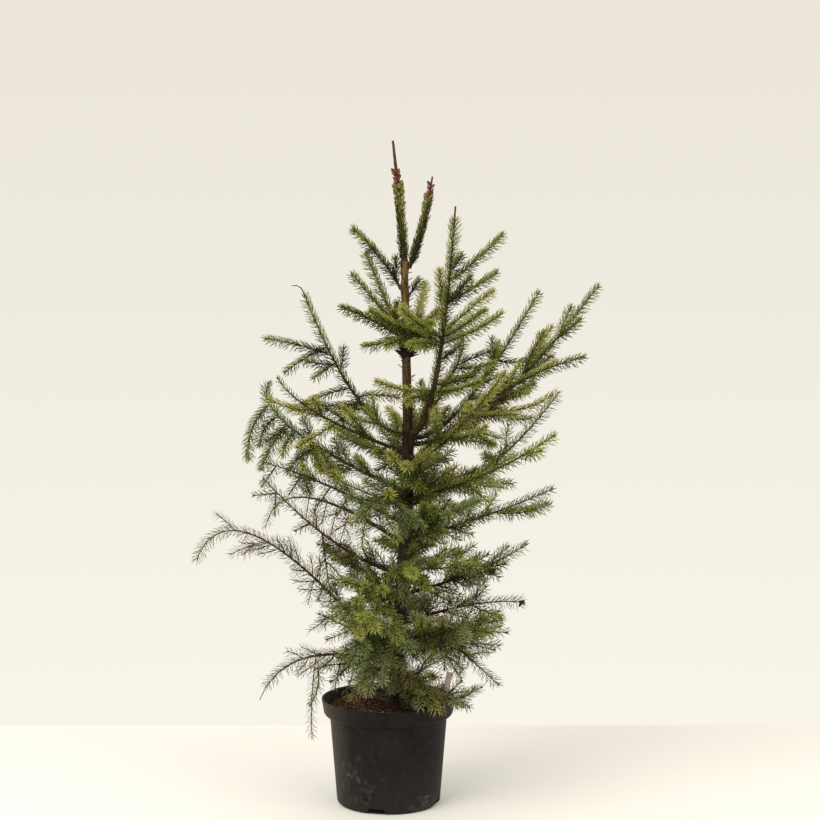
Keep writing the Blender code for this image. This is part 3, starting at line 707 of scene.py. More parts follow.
# %% Label
LABEL_SIZE = (10.5 * MM, 0.9 * MM, 63 * MM)
LABEL_FOOT = Vector((77.5 * MM, 10 * MM, 130 * MM))
LABEL_LEAN = math.radians(14)
LABEL_TURN = math.radians(20)
LABEL_POINT = 0.8
LABEL_CORNER = 1.5 * MM
LABEL_EDGE = 0.2 * MM

label_build = bmesh.new()
bmesh.ops.create_cube(label_build, size=1.0, matrix=Matrix.Diagonal((*LABEL_SIZE, 1.0)))
for corner in label_build.verts:
    if corner.co.z < 0:
        corner.co.x *= LABEL_POINT
through = [
    edge for edge in label_build.edges
    if abs(edge.verts[0].co.y - edge.verts[1].co.y) > LABEL_SIZE[1] / 2
]
bevel(label_build, through, LABEL_CORNER, 4)
bevel(label_build, label_build.edges[:], LABEL_EDGE, 2)
label_turn = Matrix.Rotation(LABEL_TURN, 4, "Z") @ Matrix.Rotation(LABEL_LEAN, 4, "Y")
label_rise = Matrix.Translation((0, 0, LABEL_SIZE[2] / 2))
label_place = Matrix.Translation(LABEL_FOOT) @ label_turn @ label_rise
bmesh.ops.transform(label_build, matrix=label_place, verts=label_build.verts)
label_finish = mottled(
    "label_plastic", color(190, 176, 172), 0.45, 0.4, 0.02, 6,
    (0.3, color(158, 144, 134)), (0.7, color(188, 174, 164)),
)
label_mesh = built_mesh("label_dressed", label_build, 40)
add_piece("label_dressed", label_mesh, label_finish.material, "label", "plant_label")

# %% [markdown]
# ## The trunk
#
# The trunk leans slightly to the right, flares where it enters the compost
# and tapers to the fork of the two leaders. Its centre and radius are read
# from a short table of heights. The bark is rough and grey brown near the
# foot, and smooth and orange brown above, where it is only a year or two
# old.

# %% Trunk line
TRUNK_ROWS = np.array(  # height, lean to the right, lean away and radius in millimetres
    (
        (127.3, 10, 0, 15.5),
        (143, 10, 0, 14.5),
        (152, 11, 0, 12.0),
        (170, 11, 0, 10.6),
        (243, 14, 1, 10.0),
        (306, 18, 2, 9.4),
        (355, 22, 3, 8.9),
        (452, 28, 3, 8.2),
        (541, 29, 1, 7.6),
        (600, 28, 0, 6.9),
        (681, 26, 0, 6.2),
        (732, 25, 0, 5.6),
        (802, 24, 0, 5.0),
    )
) * MM
TRUNK_FOOT, TRUNK_TOP = TRUNK_ROWS[0, 0], TRUNK_ROWS[-1, 0]


def trunk_at(heights):
    """The trunk's centres and radii at some heights."""
    heights = np.clip(heights, TRUNK_FOOT, TRUNK_TOP)
    x, y, radius = (np.interp(heights, TRUNK_ROWS[:, 0], column) for column in TRUNK_ROWS.T[1:])
    return np.stack([x, y, heights], axis=-1), radius


print("trunk from", TRUNK_FOOT, "to", TRUNK_TOP, "m")

# %% [markdown]
# ## Paths and limbs
#
# Every limb is one arc: a start on the trunk, an end in the air, and a
# middle point that pulls it up or lets it sag. This is the rule that the
# solid model was grown by, written again with arrays, so that whole rows of
# points can be read from an arc at once.

# %% Paths
SPINE_POINTS = 33


class Path:
    """A curve through close points, read by the distance along it."""

    def __init__(self, points):
        self.points = np.asarray(points, dtype=float)
        steps = np.linalg.norm(np.diff(self.points, axis=0), axis=1)
        self.marks = np.concatenate([[0.0], np.cumsum(steps)])
        self.length = self.marks[-1]

    def at(self, places):
        return np.stack([np.interp(places, self.marks, axis) for axis in self.points.T], axis=-1)

    def along(self, places):
        places = np.clip(places, 0.0, self.length)
        return unit(self.at(places + 2 * MM) - self.at(places - 2 * MM))

    def part(self, start, end, count=SPINE_POINTS):
        return Path(self.at(np.linspace(start, end, count)))


def bowed_path(start, middle, end):
    """A smooth arc from start to end, drawn towards the middle point."""
    share = np.linspace(0, 1, SPINE_POINTS)[:, None]
    first = start + (middle - start) * share
    second = middle + (end - middle) * share
    return Path(first + (second - first) * share)


def heading(azimuth):
    angle = math.radians(azimuth)
    return np.array([math.cos(angle), math.sin(angle), 0.0])


def arc(start, chord, outward, crest, bow):
    """An arc along a chord that bows upwards by a distance in millimetres."""
    above = unit(np.cross(chord, (-outward[1], outward[0], 0.0)))
    return bowed_path(start, start + chord * crest + above * 2 * bow * MM, start + chord)


print("paths ready")

# %% [markdown]
# ## The table of limbs
#
# Each row is one limb. Tiers a to h run from the top down, as a spruce makes
# one whorl of limbs a year. The lowest limbs arch over and hang, the upper
# ones reach for the light.

# %% Rows of limbs
LIMB_ROWS = (  # foot, azimuth, reach, tip's height, bow, crest and bare wood; mm and degrees
    ("top_leader", 802, 180, 17, 978, 1, 0.45, 0),
    ("top_right", 780, -10, 41, 926, -5, 0.30, 0),
    ("a_left", 748, 160, 80, 850, 7, 0.37, 0),
    ("a_right", 745, 40, 27, 775, 0, 0.40, 0),
    ("b_left_high", 664, 145, 73, 813, 2, 0.57, 0),
    ("b_left", 682, 185, 78, 783, 3, 0.37, 0),
    ("b_left_low", 686, 225, 126, 738, 5, 0.29, 0),
    ("b_front", 684, -70, 105, 716, 4, 0.50, 0),
    ("b_back", 676, 75, 110, 768, -6, 0.50, 0),
    ("c_left", 544, 170, 157, 758, -27, 0.22, 40),
    ("c_rising", 552, -50, 105, 881, -35, 0.03, 45),
    ("c_right_back", 548, 30, 230, 755, -34, 0.08, 0),
    ("c_right", 536, -5, 276, 766, -36, 0.18, 55),
    ("c_right_low", 500, -35, 295, 671, 20, 0.65, 0),
    ("c_left_low", 521, 210, 211, 638, -15, 0.80, 0),
    ("c_front", 550, -127, 108, 594, -9, 0.50, 0),
    ("c_right_front", 532, -25, 87, 694, -12, 0.93, 0),
    ("c_front_right", 524, -54, 224, 648, -26, 0.04, 0),
    ("c_back", 540, 80, 185, 590, -6, 0.50, 0),
    ("c_back_left", 508, 130, 195, 556, -6, 0.50, 0),
    ("d_left", 463, 170, 211, 621, -31, 0.95, 45),
    ("d_right", 481, 10, 228, 607, -43, 0.26, 0),
    ("d_right_low", 452, -38, 259, 562, -11, 0.55, 0),
    ("d_right_thin", 440, 42, 219, 458, 15, 0.47, 0),
    ("d_left_low", 415, 205, 219, 517, 6, 0.65, 0),
    ("d_front", 452, -112, 165, 452, 14, 0.50, 0),
    ("d_front_right", 474, -80, 175, 536, 4, 0.50, 0),
    ("d_back", 436, 95, 215, 556, -8, 0.50, 0),
    ("e_arch", 386, 152, 243, 394, 54, 0.90, 0),
    ("e_right", 393, 5, 219, 465, -5, 0.52, 0),
    ("e_left", 342, 190, 204, 486, -18, 0.35, 0),
    ("e_front", 350, -84, 150, 366, 6, 0.50, 0),
    ("e_front_right", 398, -56, 185, 470, 0, 0.50, 0),
    ("e_back", 346, 80, 220, 424, 0, 0.50, 0),
    ("f_right", 310, -10, 186, 390, -8, 0.58, 0),
    ("f_back", 300, 125, 205, 356, 6, 0.50, 0),
    ("f_front_left", 304, 238, 176, 304, 16, 0.50, 0),
    ("g_arch", 200, 178, 297, 362, 74, 1.05, 55),
    ("g_right", 265, -25, 196, 315, 10, 0.61, 0),
    ("g_right_low", 240, -55, 225, 290, 9, 0.63, 0),
    ("g_right_back", 222, 32, 182, 215, 9, 0.40, 0),
    ("g_front", 262, -115, 165, 236, 22, 0.50, 0),
    ("g_left", 231, 204, 123, 291, -2, 0.09, 0),
    ("g_back", 250, 82, 205, 268, 12, 0.50, 0),
    ("h_left", 203, 192, 205, 163, 45, 0.70, 0),
    ("h_left_low", 186, 222, 154, 222, 13, 0.55, 0),
    ("h_right", 268, 14, 153, 168, 17, 0.06, 0),
    ("h_right_low", 174, -48, 167, 198, -16, 0.82, 0),
    ("h_front", 234, -106, 150, 196, 12, 0.50, 0),
    ("h_front_right", 188, -60, 121, 160, 16, 0.40, 0),
    ("h_back", 200, 104, 156, 216, 12, 0.50, 0),
)
print(len(LIMB_ROWS), "limbs in the table")

# %% Limbs
BOUGH_FOOT_RADIUS = 1.6 * MM
BOUGH_RADIUS_PER_LENGTH = 0.0062
LOW_CORNER_SHARE = 0.5
GAP = 0.3 * MM
SEARCH_STEPS, SEARCH_STEP = 600, 0.1


class Limb:
    """A limb's spine, its radius at the trunk, and where it leaves the bark."""

    def __init__(self, row):
        self.name, foot, azimuth, reach, tip, bow, crest, bare = row
        start, _ = trunk_at(foot * MM)
        outward = heading(azimuth)
        self.side = np.array([-outward[1], outward[0], 0.0])
        chord = outward * reach * MM + np.array([0, 0, tip * MM - start[2]])
        self.path = arc(start, chord, outward, crest, bow)
        self.foot_core = BOUGH_FOOT_RADIUS + BOUGH_RADIUS_PER_LENGTH * self.path.length
        self.bare = bare * MM
        self.start = self.clear_of_trunk()

    def clear_of_trunk(self):
        """Distance along the spine at which the limb's foot leaves the trunk."""
        places = np.arange(SEARCH_STEPS) * SEARCH_STEP * MM
        centres = self.path.at(places)
        along = self.path.along(places)
        axes, skins = trunk_at(centres[:, 2])
        beside = np.hypot(*(centres - axes)[:, :2].T)
        level = np.hypot(*along[:, :2].T)
        whole = (along[:, 2] > 0) | (self.bare > 0)
        lean = np.abs(along[:, 2]) * np.where(whole, 1.0, LOW_CORNER_SHARE)
        outside = beside > skins + GAP + self.foot_core * lean
        over = centres[:, 2] > TRUNK_TOP + GAP + self.foot_core * level
        return places[np.argmax(outside | over)]


limbs = [Limb(row) for row in LIMB_ROWS]
limb_named = {limb.name: limb for limb in limbs}
limb_total = sum(limb.path.length for limb in limbs)
print(len(limbs), "limbs, together", round(limb_total, 2), "m long")

# %% [markdown]
# ## Bark you can feel
#
# Bark relief has to be real geometry, because a close view shows the
# outline. A circle is extruded ring by ring along a path, and each ring is
# scaled to the radius there. Then every corner moves along its normal by
# noise stretched lengthwise, which makes ridges, and by swellings where
# limbs join.

# %% Extrude a limb
def ring_matrix(centre, along, side, radius):
    """Places a unit circle across a path."""
    across = unit(side - along * np.dot(side, along))
    above = np.cross(along, across)
    columns = np.stack([across * radius, above * radius, along, centre], axis=1)
    return Matrix([*columns.tolist(), (0, 0, 0, 1)])


def extruded_limb(rings, sides):
    """A closed round limb through rings of centre, direction, side and radius."""
    places = [ring_matrix(*ring) for ring in rings]
    build = bmesh.new()
    bmesh.ops.create_circle(build, segments=sides, radius=1.0, matrix=places[0])
    front = build.edges[:]
    for low, high in zip(places, places[1:]):
        made = bmesh.ops.extrude_edge_only(build, edges=front)["geom"]
        fresh = [item for item in made if isinstance(item, bmesh.types.BMVert)]
        edges = [item for item in made if isinstance(item, bmesh.types.BMEdge)]
        front = [edge for edge in edges if edge.is_boundary]
        bmesh.ops.transform(build, matrix=high @ low.inverted(), verts=fresh)
    bmesh.ops.holes_fill(build, edges=build.edges[:], sides=0)
    bmesh.ops.recalc_face_normals(build, faces=build.faces[:])
    build.normal_update()
    return build


print("a limb of any shape can be extruded")

# %% Trunk bark
TRUNK_SIDES = 40
TRUNK_RING_STEP = 2.5 * MM
COLLAR_SWELL = 1.6 * MM
COLLAR_REACH = 9 * MM
SWELL_LIMIT = 1.2
YOUNG_HEIGHT, AGE_SPAN, YOUNGEST = 0.62, 0.3, 0.12  # bark ages downwards from this height
PLATES, RIDGES = (0.45, 4.5), (0.16, 2.0)  # stretch and size in millimetres
PLATE_RELIEF, RIDGE_YOUNG, RIDGE_OLD = 0.75, 0.25, 0.3


def trunk_build():
    heights = np.append(np.arange(TRUNK_FOOT, TRUNK_TOP, TRUNK_RING_STEP), TRUNK_TOP)
    centres, radii = trunk_at(heights)
    line = Path(centres)
    ways = line.along(line.marks)
    side = np.array([1.0, 0.0, 0.0])
    rings = [(centre, way, side, radius) for centre, way, radius in zip(centres, ways, radii)]
    return extruded_limb(rings, TRUNK_SIDES)


def streaks_at(spot, stretch, size):
    """Noise that is drawn out along the trunk."""
    return noise.noise(Vector((spot.x, spot.y, spot.z * stretch)) / (size * MM))


def trunk_relief(spot, age):
    """How far the bark stands out: plates on old wood, fine ridges on young."""
    plates = streaks_at(spot, *PLATES) * PLATE_RELIEF * age
    ridges = streaks_at(spot, *RIDGES) * (RIDGE_YOUNG + RIDGE_OLD * age)
    return (plates + ridges) * MM


build = trunk_build()
collars = [Vector(limb.path.at(limb.start)) for limb in limbs]
for corner in build.verts:
    age = min(max((YOUNG_HEIGHT - corner.co.z) / AGE_SPAN, YOUNGEST), 1.0)
    apart = [(corner.co - collar).length / COLLAR_REACH for collar in collars]
    swell = COLLAR_SWELL * min(sum(math.exp(-(away**2)) for away in apart), SWELL_LIMIT)
    corner.co += corner.normal * (trunk_relief(corner.co, age) + swell)
trunk_mesh = built_mesh("trunk_bark", build)
print("trunk bark:", len(trunk_mesh.vertices), "corners")

# %% [markdown]
# ## Bark colours
#
# Young spruce bark is light brown, and it greys and darkens with age. One
# ramp over height gives that, with a coarse noise that makes its borders
# wander, and it is darkest about half a metre up as painted shade, where the
# trunk stands deep in the crown. Dark cracks come from a finer noise, drawn
# out lengthwise. Thin wood has its own, simpler finish, darker because it
# stands in the shade of its needles.

# %% Bark finishes
BARK_WANDER = 0.12
BARK_AGES_AND_SHADE = (  # stops over height, from the foot up
    (0.25, color(50, 42, 32)),
    # painted shade: the bark is darkest here, where the trunk stands deep in the crown
    (0.52, color(40, 30, 20)),
    (0.62, color(60, 45, 27)),
    (0.7, color(92, 70, 40)),
    (0.84, color(112, 86, 46)),
)
BARK_CRACKS = (0.38, color(82, 70, 48)), (0.58, (1, 1, 1, 1))
CRACK_STRENGTH = 0.8


def bark_finish():
    finish = Finish("bark", color(92, 62, 42), 0.85, 0.25)
    wander = finish.grain(0.05, detail=3)
    level = finish.arithmetic("MULTIPLY_ADD", wander, BARK_WANDER, finish.height())
    # the ramp gives both the bark's age and painted shade inside the crown
    aged_and_shaded = finish.ramp(level, *BARK_AGES_AND_SHADE)
    cracks = finish.ramp(finish.grain(0.0035, (1, 1, 0.25), 6), *BARK_CRACKS)
    finish.paint(finish.mix(CRACK_STRENGTH, aged_and_shaded, cracks, "MULTIPLY"))
    finish.bump(finish.grain(0.0012, (1, 1, 0.4), 4), 0.4 * MM)
    return finish.material


def wood_finish(name, dark, light):
    return mottled(name, light, 0.8, 0.2, 0.004, 4, (0.35, dark), (0.65, light)).material


add_piece("trunk_bark", trunk_mesh, bark_finish(), "bark", "trunk")

# %% [markdown]
# ## The boughs
#
# Each limb's wood is one tapering piece from inside the trunk to its tip.
# The radius falls quickly at first and slowly later, as wood that has been
# fed by fewer and fewer shoots does. Small knots stand for the pegs that old
# needles leave behind. The two leaders carry the trunk on, so they start
# almost as thick as it ends, and they end blunt, as if the tip was lost.

# %% Boughs
BOUGH_SIDES = 10
BOUGH_STEP = 3 * MM
BOUGH_SINK = 3 * MM
TIP_WOOD = 0.6 * MM
TAPER = 1.25
KNOTS = ((2.2, 0.28), (6, 0.2))  # size and height in millimetres
WOOD_SWELL = {"c_rising": 1.35, "c_left": 1.0, "g_arch": 0.8}
BARE_WOOD = {"c_rising": 1.3 * MM, "c_left": 1.0 * MM}
LEADER_WOOD = {"top_leader": (4.7 * MM, 1.7 * MM), "top_right": (3.4 * MM, 1.3 * MM)}


def wood_radius(limb, places):
    """Radius of a limb's wood at some distances along its spine."""
    share = np.clip((places - limb.start) / (limb.path.length - limb.start), 0, 1)
    if limb.name in LEADER_WOOD:
        foot, tip = LEADER_WOOD[limb.name]
        return foot + (tip - foot) * share
    foot = limb.foot_core * WOOD_SWELL.get(limb.name, 1.0)
    radius = TIP_WOOD + (foot - TIP_WOOD) * (1 - share) ** TAPER
    return np.maximum(radius, BARE_WOOD.get(limb.name, TIP_WOOD))


def bough_build(limb):
    path, first = limb.path, max(limb.start - BOUGH_SINK, 0.0)
    places = np.linspace(first, path.length, round((path.length - first) / BOUGH_STEP) + 1)
    sides = [limb.side] * len(places)
    rings = zip(path.at(places), path.along(places), sides, wood_radius(limb, places))
    build = extruded_limb(list(rings), BOUGH_SIDES)
    for corner in build.verts:
        knots = sum(noise.noise(corner.co / (size * MM)) * height for size, height in KNOTS)
        corner.co += corner.normal * knots * MM
    return build


bough_total = bmesh.new()
for limb in limbs:
    mesh = built_mesh("bough", bough_build(limb))
    bough_total.from_mesh(mesh)
    bpy.data.meshes.remove(mesh)
bough_wood = wood_finish("bough_wood", color(38, 28, 18), color(82, 60, 36))
bough_mesh = built_mesh("boughs_bark", bough_total)
add_piece("boughs_bark", bough_mesh, bough_wood, "bark", *BOUGHS, *MASSES)

# %% [markdown]
# ## Side shoots
#
# A spruce limb makes a pair of side shoots where each year's growth began,
# and one or two short ones in between. Its last growth has none yet. So the
# rule counts back from the tip: the last year's length stays single, then a
# pair comes every few centimetres, longer the farther it is from the tip,
# and a short shoot between two pairs. Shoots that shape the outline have a
# row each. The rule, its seed and its rows are those of the solid model.

# %% Rows of side shoots
SHOOT_ROWS = {  # place along the spine, azimuth, reach, rise and bow; mm and degrees
    "a_left": [(76, 190, 11, 13, 0)],
    "b_left_low": [(17, 178, 50, -16, -3)],
    "b_front": [
        (31, 205, 64, 35, 0), (45, 240, 34, 38, 0), (51, -25, 30, 28, 0), (31, 225, 54, -13, 0),
    ],
    "c_left": [
        (171, 165, 102, 24, 3), (186, 195, 62, -36, 2), (157, 200, 45, 5, -2),
        (159, 215, 37, -21, 0), (116, 205, 73, -22, 3), (99, -25, 67, 1, 4),
        (89, 215, 97, 2, -4), (91, -60, 37, -12, 0), (95, 235, 15, -18, 0),
    ],
    "c_rising": [
        (254, 5, 76, 66, -2), (268, -40, 20, 23, 0), (225, 10, 71, 41, -2),
        (219, -40, 42, 41, 0), (176, -10, 71, 63, 3), (172, -50, 88, 41, -1),
        (165, -25, 91, 43, -5), (177, 120, 9, 92, 0), (166, 195, 105, 45, -5),
        (172, 225, 80, 42, -3), (161, 215, 55, 3, 3), (94, 200, 86, 14, -6),
        (84, 225, 53, -5, 4), (103, -15, 64, 21, -5), (91, -42, 85, 18, -4),
    ],
    "c_right_back": [
        (199, -10, 81, 23, -12), (124, 50, 76, 70, -2), (151, -30, 41, 18, 0),
        (174, 75, 69, 43, 0),
    ],
    "c_right": [(118, 60, 90, 48, 0), (150, -60, 95, 30, 0), (204, -40, 50, 29, 0)],
    "c_right_low": [
        (246, 20, 44, 22, 0), (129, -50, 105, 11, 0), (172, -30, 69, -20, -10),
        (140, -55, 52, -41, -11), (162, -20, 103, 17, -13), (82, -38, 88, -9, 0),
        (106, -35, 73, -13, 0),
    ],
    "c_left_low": [(173, 190, 60, 15, -4), (128, 215, 65, -29, 0)],
    "c_front": [(70, 215, 48, 13, 0), (74, 60, -17, 38, 0)],
    "c_right_front": [(144, -10, 56, 23, 1), (140, -50, 78, 10, -3), (114, -45, 52, 13, 0)],
    "c_front_right": [(112, -60, 97, 23, -5)],
    "d_left": [
        (248, 195, 32, -81, 11), (208, 205, 40, -64, 4), (177, -70, 30, -78, -20),
        (190, 245, 42, -30, 6), (225, 150, 34, -44, 8), (150, 215, 52, -34, 6),
        (202, 225, 45, -18, 0), (152, -60, 67, -40, 0), (164, -75, 82, -33, 0),
    ],
    "d_right": [(95, -30, 75, 35, 0), (141, 100, 63, 3, 0)],
    "d_right_low": [(110, -60, 61, -20, 0), (220, -60, 47, 11, 0)],
    "d_left_low": [
        (226, 215, 23, -27, 0), (185, 225, 22, -25, 0), (135, 220, 23, -24, 0),
        (103, 220, 21, -25, 0),
    ],
    "d_front": [
        (102, 200, 54, 24, 0), (117, 212, 47, 8, 0), (141, 235, 43, -20, 0),
        (156, 250, 16, -47, 0), (84, -40, 71, -37, 0), (113, -62, 62, -50, 0),
    ],
    "e_arch": [
        (176, 255, 16, -32, 0), (144, 255, 27, -30, 0), (162, 250, 19, -43, 0),
        (125, 250, 31, -46, 0), (103, 250, 46, -49, 0),
    ],
    "e_right": [(139, -20, 85, 16, -6)],
    "e_left": [
        (226, 200, 34, -2, 0), (137, -40, 20, -112, 0), (107, -55, 50, -13, 8),
        (160, 222, 26, -8, 0), (78, -50, 31, -29, 0), (229, 240, 3, -31, 0),
    ],
    "e_front": [
        (80, -28, 45, 11, 0), (80, -40, 40, -29, 0), (60, -14, 81, 23, 0),
        (115, -18, 99, 10, 0),
    ],
    "f_right": [(91, -40, 62, 17, -1), (68, 25, 48, 51, 7), (46, 245, 70, 29, 0)],
    "f_front_left": [(120, -75, 116, -16, 0), (80, -62, 89, -49, 0), (142, -78, 95, -23, 0)],
    "g_arch": [(272, 205, 57, -16, 2), (120, 215, 60, -28, 0), (183, 250, 23, -36, 0)],
    "g_right": [(122, -50, 64, -11, 0), (92, 20, 41, 16, 0), (53, -42, 72, -19, 0)],
    "g_right_low": [(173, -30, 65, 3, 0), (142, -35, 82, 24, 1)],
    "g_front": [(115, 255, 44, -37, 0), (100, -70, 69, -34, 0), (47, -70, 106, -15, 0)],
    "h_left": [(107, 210, 48, -26, 0)],
    "h_left_low": [(157, 225, 14, -50, -7), (116, 235, 12, -33, 0)],
    "h_right": [(71, -30, 34, -60, -4)],
    "h_right_low": [(128, -60, 38, -4, 0)],
    "h_front": [(45, 215, 68, -34, 0), (84, 200, 45, -50, 0), (59, -20, 65, -45, 0)],
    "h_front_right": [(65, -40, 52, -20, 0), (39, -15, 53, 34, 0)],
}
SHOOT_COUNT = sum(len(rows) for rows in SHOOT_ROWS.values())
print(len(SHOOT_ROWS), "limbs have rows of side shoots")

# %% Set and seeded shoots
BARE_TIPS = {"top_leader": 38 * MM, "c_rising": 12 * MM, "h_left": 24 * MM}
SHOOTLESS = ("top_leader", "top_right")
# Limbs whose only long side shoots have rows of their own.
PAIRLESS = """
    a_left b_left_high b_left b_left_low c_left c_rising c_right_back c_right_low c_front
    d_left d_right d_right_low e_arch e_right e_left g_arch g_right g_left
    h_left h_left_low h_right
""".split()
GROWTH = {  # length of the last year and of the years before, in millimetres
    "a": (90, 60), "b": (90, 60), "c": (92, 74), "d": (84, 66),
    "e": (76, 60), "f": (66, 56), "g": (54, 48), "h": (46, 42),
}
PAIR_FIRST = 16 * MM
PAIR_OFFSET = 3 * MM
PAIR_SHARE = 0.52
PAIR_LENGTHS = (40 * MM, 95 * MM)
PAIR_ANGLE = math.radians(44)
PAIR_ROLLS = (14, 26, -4, 20, 4, -14)
SPUR_LENGTH = 34 * MM
SPUR_ANGLE = math.radians(54)
SPUR_ROLLS = (70, -60, 110, -100, 40)
SHOOT_VARIETY = 0.15
SHOOT_CURL = 0.2
SEED = 41


def stem_of(limb):
    """The part of a limb's spine that bears needles and shoots."""
    start = limb.start + (limb.bare + GAP if limb.bare else 0.0)
    return limb.path.part(start, limb.path.length)


def shoot_path(stem, side, place, hand, roll, length, angle):
    """A side shoot's arc: out from the stem, then curling along with it."""
    root = stem.at(place)
    along = stem.along(place)
    across = unit(side - along * np.dot(side, along))
    above = np.cross(along, across)
    sideways = across * hand * math.cos(roll) + above * math.sin(roll)
    outward = along * math.cos(angle) + sideways * math.sin(angle)
    tip_way = unit(outward + (along - outward) * SHOOT_CURL)
    return bowed_path(root, root + outward * length / 2, root + tip_way * length)


def row_path(root, azimuth, reach, rise, bow):
    """The arc of a shoot or twig that is given by a row."""
    outward = heading(azimuth)
    chord = (outward * reach + np.array([0, 0, rise])) * MM
    return arc(root, chord, outward, 0.5, bow)


def paths_of(rows, limb):
    """The arcs of a limb's rows."""
    return [row_path(limb.path.at(place * MM), *row) for place, *row in rows.get(limb.name, ())]


def whorls(limb, stem, draws):
    """Where the pairs of side shoots stand, from the tip back to the trunk."""
    last, year = GROWTH[limb.name[0]]
    place = stem.length - BARE_TIPS.get(limb.name, 0.0) - last * MM
    while place > PAIR_FIRST:
        yield place, year * MM
        place -= year * MM * (1 + SHOOT_VARIETY * draws.uniform(-1.0, 1.0))


def seeded_shoots(limb, stem, seed):
    """A pair of side shoots at each whorl, and a short one before it."""
    draws = random.Random(seed)
    paths = []
    if limb.name in SHOOTLESS:
        return paths
    for number, (place, year) in enumerate(whorls(limb, stem, draws)):
        for hand in (1, -1):
            vary = 1 + SHOOT_VARIETY * draws.uniform(-1.0, 1.0)
            wanted = PAIR_SHARE * (stem.length - place) * vary
            length = min(max(wanted, PAIR_LENGTHS[0]), PAIR_LENGTHS[1])
            roll = math.radians(PAIR_ROLLS[(2 * number + hand) % len(PAIR_ROLLS)])
            root = place + hand * PAIR_OFFSET
            if limb.name not in PAIRLESS:
                paths.append(shoot_path(stem, limb.side, root, hand, roll, length, PAIR_ANGLE))
        length = SPUR_LENGTH * (1 + SHOOT_VARIETY * draws.uniform(-1.0, 1.0))
        roll = math.radians(SPUR_ROLLS[number % len(SPUR_ROLLS)])
        root = max(place - year / 2, PAIR_FIRST)
        paths.append(shoot_path(stem, limb.side, root, 1, roll, length, SPUR_ANGLE))
    return paths


print("shoots follow", SHOOT_COUNT, "rows and the seeded rule")

# %% [markdown]
# ## Finer twigs
#
# The solid model stops at side shoots. A real spruce goes one order further,
# in two ways. Long side shoots in the older tiers have a pair of twigs of
# their own. And close to the trunk, short shaded twigs stand all round the
# old wood, which is what hides the trunk low down. Both grow within the
# reach of their limb, and the young tiers at the top stay open, with sky
# between their shoots. From tier d down some twigs droop, and those have rows,
# as side shoots do. The arms that hang have thinner wood.

# %% Twigs on shoots
FINE_FROM = 58 * MM
FINE_NODES = (40 * MM, 74 * MM)
FINE_LENGTHS = (22 * MM, 34 * MM)
FINE_ANGLE = math.radians(46)
FORKED_TIERS = "efgh"
INNER_TIERS = {"b": 0.16, "d": 0.3, "e": 0.45, "f": 0.55, "g": 0.6, "h": 0.6}
INNER_FIRST = 6 * MM
INNER_SPACING = 13 * MM
INNER_LENGTHS = (24 * MM, 40 * MM)
INNER_ANGLE = math.radians(58)


def level_side(path):
    """A level direction across a path, for shoots that have no side of their own."""
    along = path.along(path.length / 2)
    across = np.cross((0.0, 0.0, 1.0), along)
    return unit(across) if np.linalg.norm(across) > 0.2 else np.array([1.0, 0.0, 0.0])


def forked_twigs(path, draws):
    """Pairs of twigs at set distances from the tip of a long side shoot."""
    side = level_side(path)
    paths = []
    for node in FINE_NODES:
        if path.length > FINE_FROM and path.length - node > INNER_FIRST:
            for hand in (1, -1):
                roll = math.radians(draws.uniform(-20, 40))
                place = path.length - node + hand * PAIR_OFFSET
                length = draws.uniform(*FINE_LENGTHS)
                paths.append(shoot_path(path, side, place, hand, roll, length, FINE_ANGLE))
    return paths


def inner_twigs(limb, stem, draws):
    """Short twigs all round the inner stretch of an old limb."""
    reach = INNER_TIERS.get(limb.name[0], 0.0) * stem.length
    paths = []
    for place in np.arange(INNER_FIRST, reach, INNER_SPACING):
        turn = math.radians(draws.uniform(0, 360))
        length = draws.uniform(*INNER_LENGTHS)
        paths.append(shoot_path(stem, limb.side, place, 1, turn, length, INNER_ANGLE))
    return paths


print("twigs fork in tiers", ", ".join(FORKED_TIERS), "and stand inside", ", ".join(INNER_TIERS))

# %% Needled twigs
class Twig:
    """A path with needles: its wood, the stretch that is clothed, and its order."""

    def __init__(self, limb, path, side, order, root, start, end):
        self.limb, self.path, self.side = limb, path, side
        self.order, self.root = order, root
        self.start, self.end = start, end

    def wood(self, places):
        return TIP_WOOD + (self.root - TIP_WOOD) * (1 - places / self.path.length)


def small_twig(limb, path, order, root):
    """A twig that bears needles to its tip, or none where its order is BARE."""
    return Twig(limb, path, level_side(path), order, root, NEEDLE_FIRST, path.length)


STEM, SHOOT, FINE, BARE = range(4)  # the orders of twigs
NEEDLE_FIRST = 4 * MM
ROOT_DEPTH = 0.6  # share of the wood's radius at which needles and small twigs start
SHOOT_WOOD, FINE_WOOD = 1.3 * MM, 0.85 * MM
HANGING_WOOD = 0.75 * MM
HANGING = ("g_arch", "h_left", "e_arch")
DROOPING_ROWS = {  # place on the limb, azimuth, reach, rise and bow; mm and degrees
    "d_front": [(14, -70, 16, -44, 6), (24, -100, 14, -56, 6), (34, -60, 16, -54, 6)],
    "e_front": [(16, -65, 16, -46, 6), (28, -95, 14, -52, 6)],
    "h_front": [
        (20, -60, 26, -46, 6), (26, -95, 18, -60, 6), (34, -55, 30, -58, 8),
        (42, -80, 20, -52, 6),
    ],
    "g_front": [(22, -60, 20, -58, 6), (38, -75, 20, -62, 6), (52, -100, 12, -60, 4)],
    "f_right": [(118, -4, 34, -8, 2)],
    "h_left": [(124, 240, 12, -120, 6), (30, 240, 40, -42, 6), (52, 230, 40, -50, 6)],
    "h_left_low": [(26, 240, 30, -24, 4), (48, 235, 34, -24, 4)],
    "g_left": [(36, 235, 40, -50, 6), (60, 225, 44, -52, 6)],
}
BARE_ENDS = {"top_leader": 86 * MM, "top_right": 30 * MM, "c_rising": 20 * MM, "c_left": 6 * MM}
STEM_FIRST = {"top_leader": 0.0, "top_right": 2 * MM}
BARE_FIRST, CLOTHED_FIRST = 14 * MM, 6 * MM
FINE_SEED = 1000

